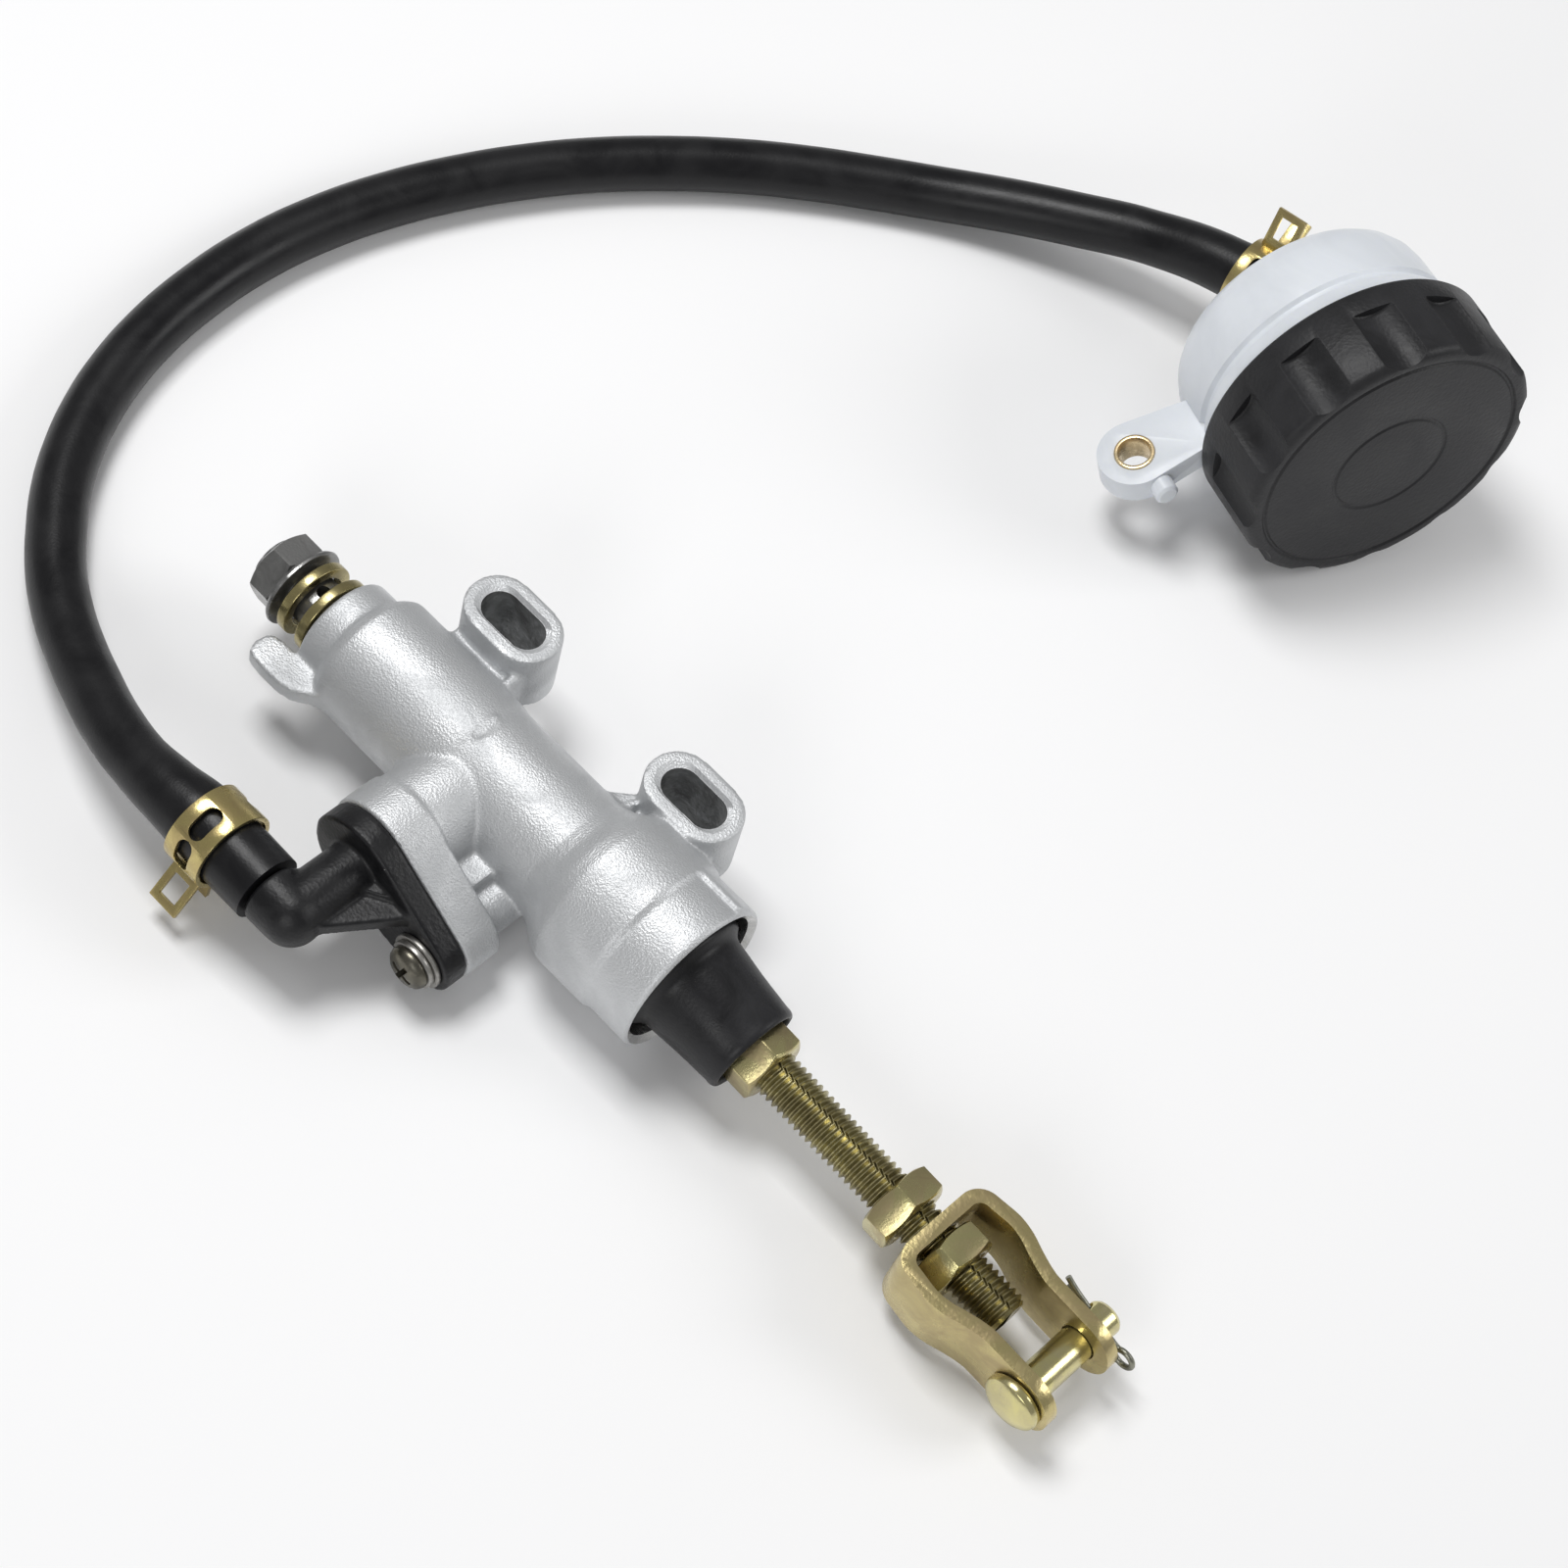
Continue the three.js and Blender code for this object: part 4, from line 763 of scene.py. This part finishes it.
def flowing(line, steps=5):
    """A line that passes smoothly through the given points, with more points between them."""
    flow = []
    for i in range(len(line) - 1):
        a, b, c, d = (line[max(i - 1, 0)], line[i], line[i + 1], line[min(i + 2, len(line) - 1)])
        for step in range(steps):
            t = step / steps
            flow.append(tuple(
                0.5 * (2 * b[k] + (c[k] - a[k]) * t + (2 * a[k] - 5 * b[k] + 4 * c[k] - d[k]) * t * t
                       + (3 * b[k] - a[k] - 3 * c[k] + d[k]) * t ** 3) for k in (0, 1)))
    return flow + [line[-1]]


arm_line = arc(CLEVIS_X + 4.05, 5.9, 2.9, 180, 100, 10) + flowing([
    (CLEVIS_X + 5.6, 9.02), (CLEVIS_X + 8.4, 9.3), (CLEVIS_X + 11.2, 8.9), (CLEVIS_X + 14.2, 7.9),
    (CLEVIS_X + 17.4, 7.05), (CLEVIS_X + 20.6, 6.85), (PIN_X + 7, 6.85)])
whole_line = [(x, -y) for x, y in reversed(arm_line)] + arm_line


def strap_outline(line, thick):
    """Offsets a centre line both ways, for the two faces of the strap."""
    outer, inner = [], []
    for i, (x, y) in enumerate(line):
        x0, y0 = line[max(i - 1, 0)]
        x1, y1 = line[min(i + 1, len(line) - 1)]
        run = math.hypot(x1 - x0, y1 - y0)
        nx, ny = -(y1 - y0) / run, (x1 - x0) / run
        outer.append((x + nx * thick / 2, y + ny * thick / 2))
        inner.append((x - nx * thick / 2, y - ny * thick / 2))
    return outer + inner[::-1]


clevis = pushed("clevis_strap", ROD_ORIGIN, (ROD_WAY, ACROSS, ROD_TOP),
                strap_outline(whole_line, CLEVIS_THICK), -CLEVIS_HALF, CLEVIS_HALF)
side_outline = ([(CLEVIS_X - 2, -CLEVIS_HALF)] + arc(PIN_X, 0, CLEVIS_HALF, -90, 90, 33)
                + [(CLEVIS_X - 2, CLEVIS_HALF)])
carved(clevis, pushed("side shape", ROD_ORIGIN, (ROD_WAY, ROD_TOP, -ACROSS), side_outline, -20, 20),
       operation="INTERSECT")
carved(clevis,
       spun("rod hole", ROD_ORIGIN, ROD_WAY, ROD_TOP, [
           (CLEVIS_X - 2, 0), (CLEVIS_X - 2, 4.15), (CLEVIS_X + 4, 4.15), (CLEVIS_X + 4, 0)], 48),
       spun("pin hole", PIN, ACROSS, ROD_TOP, [(-20, 0), (-20, 3.2), (20, 3.2), (20, 0)], 48))
eased(clevis, 0.32, 3, angle=50)
finished(clevis, yellow_strap, "clevis", "clevis")

yellow_pin = finish("yellow plated pin", (0.7, 0.64, 0.3), (0.58, 0.52, 0.3), 0.95, (0.16, 0.28),
                    drift=180, grain=3500, depth=0.006)
pin = spun("headed_pin", PIN, ACROSS, ROD_TOP, [
    (-10.7, 0), (-10.6, 2.6), (-10.3, 3.9), (-9.7, 4.75), (-9.1, 4.95), (-8.3, 4.9), (-8.3, 3),
    (11.9, 3), (12.5, 2.6), (12.8, 2), (12.8, 0)], 56)
COTTER_TURN = math.radians(18)
cotter_way = ROD_WAY * math.cos(COTTER_TURN) - ROD_TOP * math.sin(COTTER_TURN)
cotter_top = cotter_way.cross(ACROSS)
COTTER_AT = PIN + ACROSS * 10.4 * MM
carved(pin, spun("cotter hole", COTTER_AT, cotter_way, cotter_top, [
    (-6, 0), (-6, 1.1), (6, 1.1), (6, 0)], 24))
eased(pin, 0.1)
finished(pin, yellow_pin, "pin", "clevis_pin")

split_steel = finish("split pin steel", (0.3, 0.3, 0.24), (0.18, 0.18, 0.15), 0.9, (0.3, 0.42),
                     drift=400, grain=4000, depth=0.01)
eye = [(6.6 + x, y) for x, y in arc(0, 0, 1.75, 158, -158, 17)]
legs_line = ([(-8.6, 0.95), (-6.4, 0.52), (-3.4, 0.4), (4.2, 0.4)] + eye
             + [(4.2, -0.4), (-3.4, -0.4), (-5.8, -0.55), (-7.2, -1.1)])
split_curve = bpy.data.curves.new("split pin wire", "CURVE")
split_curve.dimensions = "3D"
split_curve.bevel_depth = 0.5 * MM
split_curve.bevel_resolution = 3
split_curve.resolution_u = 3
split_curve.use_fill_caps = True
split_spline = split_curve.splines.new("BEZIER")
split_spline.bezier_points.add(len(legs_line) - 1)
for point, (a, b) in zip(split_spline.bezier_points, legs_line):
    point.co = COTTER_AT + (cotter_way * a + cotter_top * b) * MM
    point.handle_left_type = "AUTO"
    point.handle_right_type = "AUTO"
cotter = bpy.data.objects.new("split_pin_wire", split_curve)
bpy.context.scene.collection.objects.link(cotter)
alone(cotter)
bpy.ops.object.convert(target="MESH")
cotter = bpy.context.object
eased(cotter, 0, angle=60)
finished(cotter, split_steel, "pin", "cotter_pin")

# ---- Reservoir -----------------------------------------------------------------------------
# Translucent white plastic cup, blow-moulded with a stepped shoulder, a leaning outlet and a flat lug.
# A brass bush is pressed in the lug, and a small stop pip stands beside it.
CUP_R = 24.4
NECK_R = 23.2
NECK_TOP = 32.4
LUG_REACH = 37
LUG_HEIGHT = 14
white_plastic = finish("milky plastic", (0.74, 0.77, 0.81), (0.67, 0.7, 0.74), 0, (0.3, 0.42),
                       drift=50, grain=1800, depth=0.008)
milky = white_plastic.node_tree.nodes["Principled BSDF"]
milky.inputs["Subsurface Weight"].default_value = 0.35
milky.inputs["Subsurface Radius"].default_value = (0.004, 0.004, 0.005)
cup = spun("reservoir_cup", RES_BASE, RES_AXIS, LUG_WAY, [
    (0, 0), (0, 17.4), (0.5, 19.6), (1.6, 21.6), (3.2, 23), (5.4, 24), (8, CUP_R), (14.2, CUP_R + 0.2),
    (14.8, CUP_R - 0.5), (15.6, CUP_R - 0.6), (16.2, CUP_R + 0.3), (18.8, CUP_R + 0.6),
    (19, NECK_R + 0.8), (19.4, NECK_R), (NECK_TOP, NECK_R), (NECK_TOP, 21.2), (18.6, 21.2),
    (16.6, 22.6), (7, 22.6), (4.8, 21.2), (1.8, 17), (1.8, 0)], 112)
lug_frame = (LUG_WAY, RES_AXIS, -LUG_SIDE)
lug = pushed("lug", RES_BASE, lug_frame, pear_outline(LUG_REACH, LUG_HEIGHT, 6.6, 18.4, LUG_HEIGHT, 4.5),
             -2.5, 2.5)
pip = spun("pip", RES_BASE + LUG_WAY * (LUG_REACH - 1.5) * MM, RES_AXIS, LUG_WAY, [
    (LUG_HEIGHT + 4, 0), (LUG_HEIGHT + 4, 2.1), (LUG_HEIGHT + 9, 2.1), (LUG_HEIGHT + 9.5, 1.6),
    (LUG_HEIGHT + 9.5, 0)], 32)
outlet = spun("reservoir spigot", SPIGOT_FOOT, SPIGOT_AXIS, RES_DOWN, [
    (-18, 0), (-18, 2.9), (-15, 3.4), (2.6, 3.4), (2.6, 0)], 40)
carved(lug, spun("cup room", RES_BASE, RES_AXIS, LUG_WAY, [
    (2, 0), (2, 23.5), (30, 23.5), (30, 0)], 112))
carved(cup, lug, pip, outlet, operation="UNION")
BUSH_AT = RES_BASE + (LUG_WAY * LUG_REACH + RES_AXIS * LUG_HEIGHT) * MM
carved(cup, spun("bush hole", BUSH_AT, LUG_SIDE, RES_AXIS, [(-5, 0), (-5, 3.6), (5, 3.6), (5, 0)], 40))
eased(cup, 0.35, 3, angle=40)
finished(cup, white_plastic, "cylinder", "reservoir_body")

brass = finish("turned brass", (0.74, 0.6, 0.36), (0.6, 0.46, 0.27), 0.95, (0.22, 0.36),
               drift=400, grain=4000, depth=0.008)
bush = spun("lug_bush", BUSH_AT, LUG_SIDE, RES_AXIS, [
    (-2.9, 2.85), (-2.9, 3.55), (2.9, 3.55), (2.9, 2.85), (-2.9, 2.85)], 56)
eased(bush, 0.14)
finished(bush, brass, "cylinder", "reservoir_bush")

# ---- Reservoir cap -------------------------------------------------------------------------
# Black moulded screw cap with a flat face and finger scoops round its rim, open at the face.
# The face is left plain but for its two moulded rings.
CAP_R = 27.4
CAP_LOW = 20
CAP_TOP = 37
SCOOPS = 12
cap_plastic = finish("black cap plastic", (0.01, 0.01, 0.011), (0.018, 0.018, 0.02), 0, (0.42, 0.55),
                     drift=70, grain=2200, depth=0.035, dust=0.02)
dulled(cap_plastic, 0.35)
cap = spun("screw_cap", RES_BASE, RES_AXIS, LUG_WAY, [
    (CAP_LOW, 23.6), (CAP_LOW, 27.1), (CAP_LOW + 0.5, CAP_R), (CAP_TOP - 1.4, CAP_R),
    (CAP_TOP - 0.5, CAP_R - 0.45), (CAP_TOP, CAP_R - 1.5), (CAP_TOP, 24.6), (CAP_TOP - 0.35, 24.3),
    (CAP_TOP - 0.35, 23.9), (CAP_TOP, 23.6), (CAP_TOP, 11.2), (CAP_TOP - 0.25, 10.9),
    (CAP_TOP - 0.25, 10.5), (CAP_TOP, 10.2), (CAP_TOP, 0), (CAP_TOP - 2, 0), (CAP_TOP - 2, 23.6),
    (CAP_LOW, 23.6)], 180)
scoops = []
for i in range(SCOOPS):
    turn = 2 * math.pi * (i - 0.3) / SCOOPS
    way = LUG_WAY * math.cos(turn) + LUG_SIDE * math.sin(turn)
    scoops.append(spun("scoop", RES_BASE + way * (CAP_R + 4.2) * MM, RES_AXIS, way, [
        (CAP_LOW + 4.5, 0), (CAP_LOW + 4.5, 5.7), (CAP_LOW + 4.9, 6), (CAP_TOP + 2, 6),
        (CAP_TOP + 2, 0)], 64))
carved(cap, joined(scoops))
eased(cap, 0.3, 3, angle=38)
finished(cap, cap_plastic, "cap", "reservoir_cap")

# ---- Pieces inside -------------------------------------------------------------------------
# The piston, its cups, spring and stops, the elbow's seal and the reservoir's diaphragm are out of sight.
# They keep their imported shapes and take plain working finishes.
black_rubber = finish("seal rubber", (0.015, 0.015, 0.016), (0.025, 0.025, 0.027), 0, (0.35, 0.5))
anodised = finish("anodised aluminium", (0.62, 0.64, 0.66), (0.5, 0.52, 0.55), 0.9, (0.3, 0.42))
inside = {
    "piston": anodised, "primary_cup": black_rubber, "secondary_cup": black_rubber,
    "return_spring": grey_steel, "stop_washer": grey_steel, "circlip": black_steel,
    "elbow_seal": black_rubber, "diaphragm": black_rubber, "diaphragm_plate": white_plastic}
for node, material in inside.items():
    part = frame["nodes"][node]
    part.data.materials.clear()
    part.data.materials.append(material)
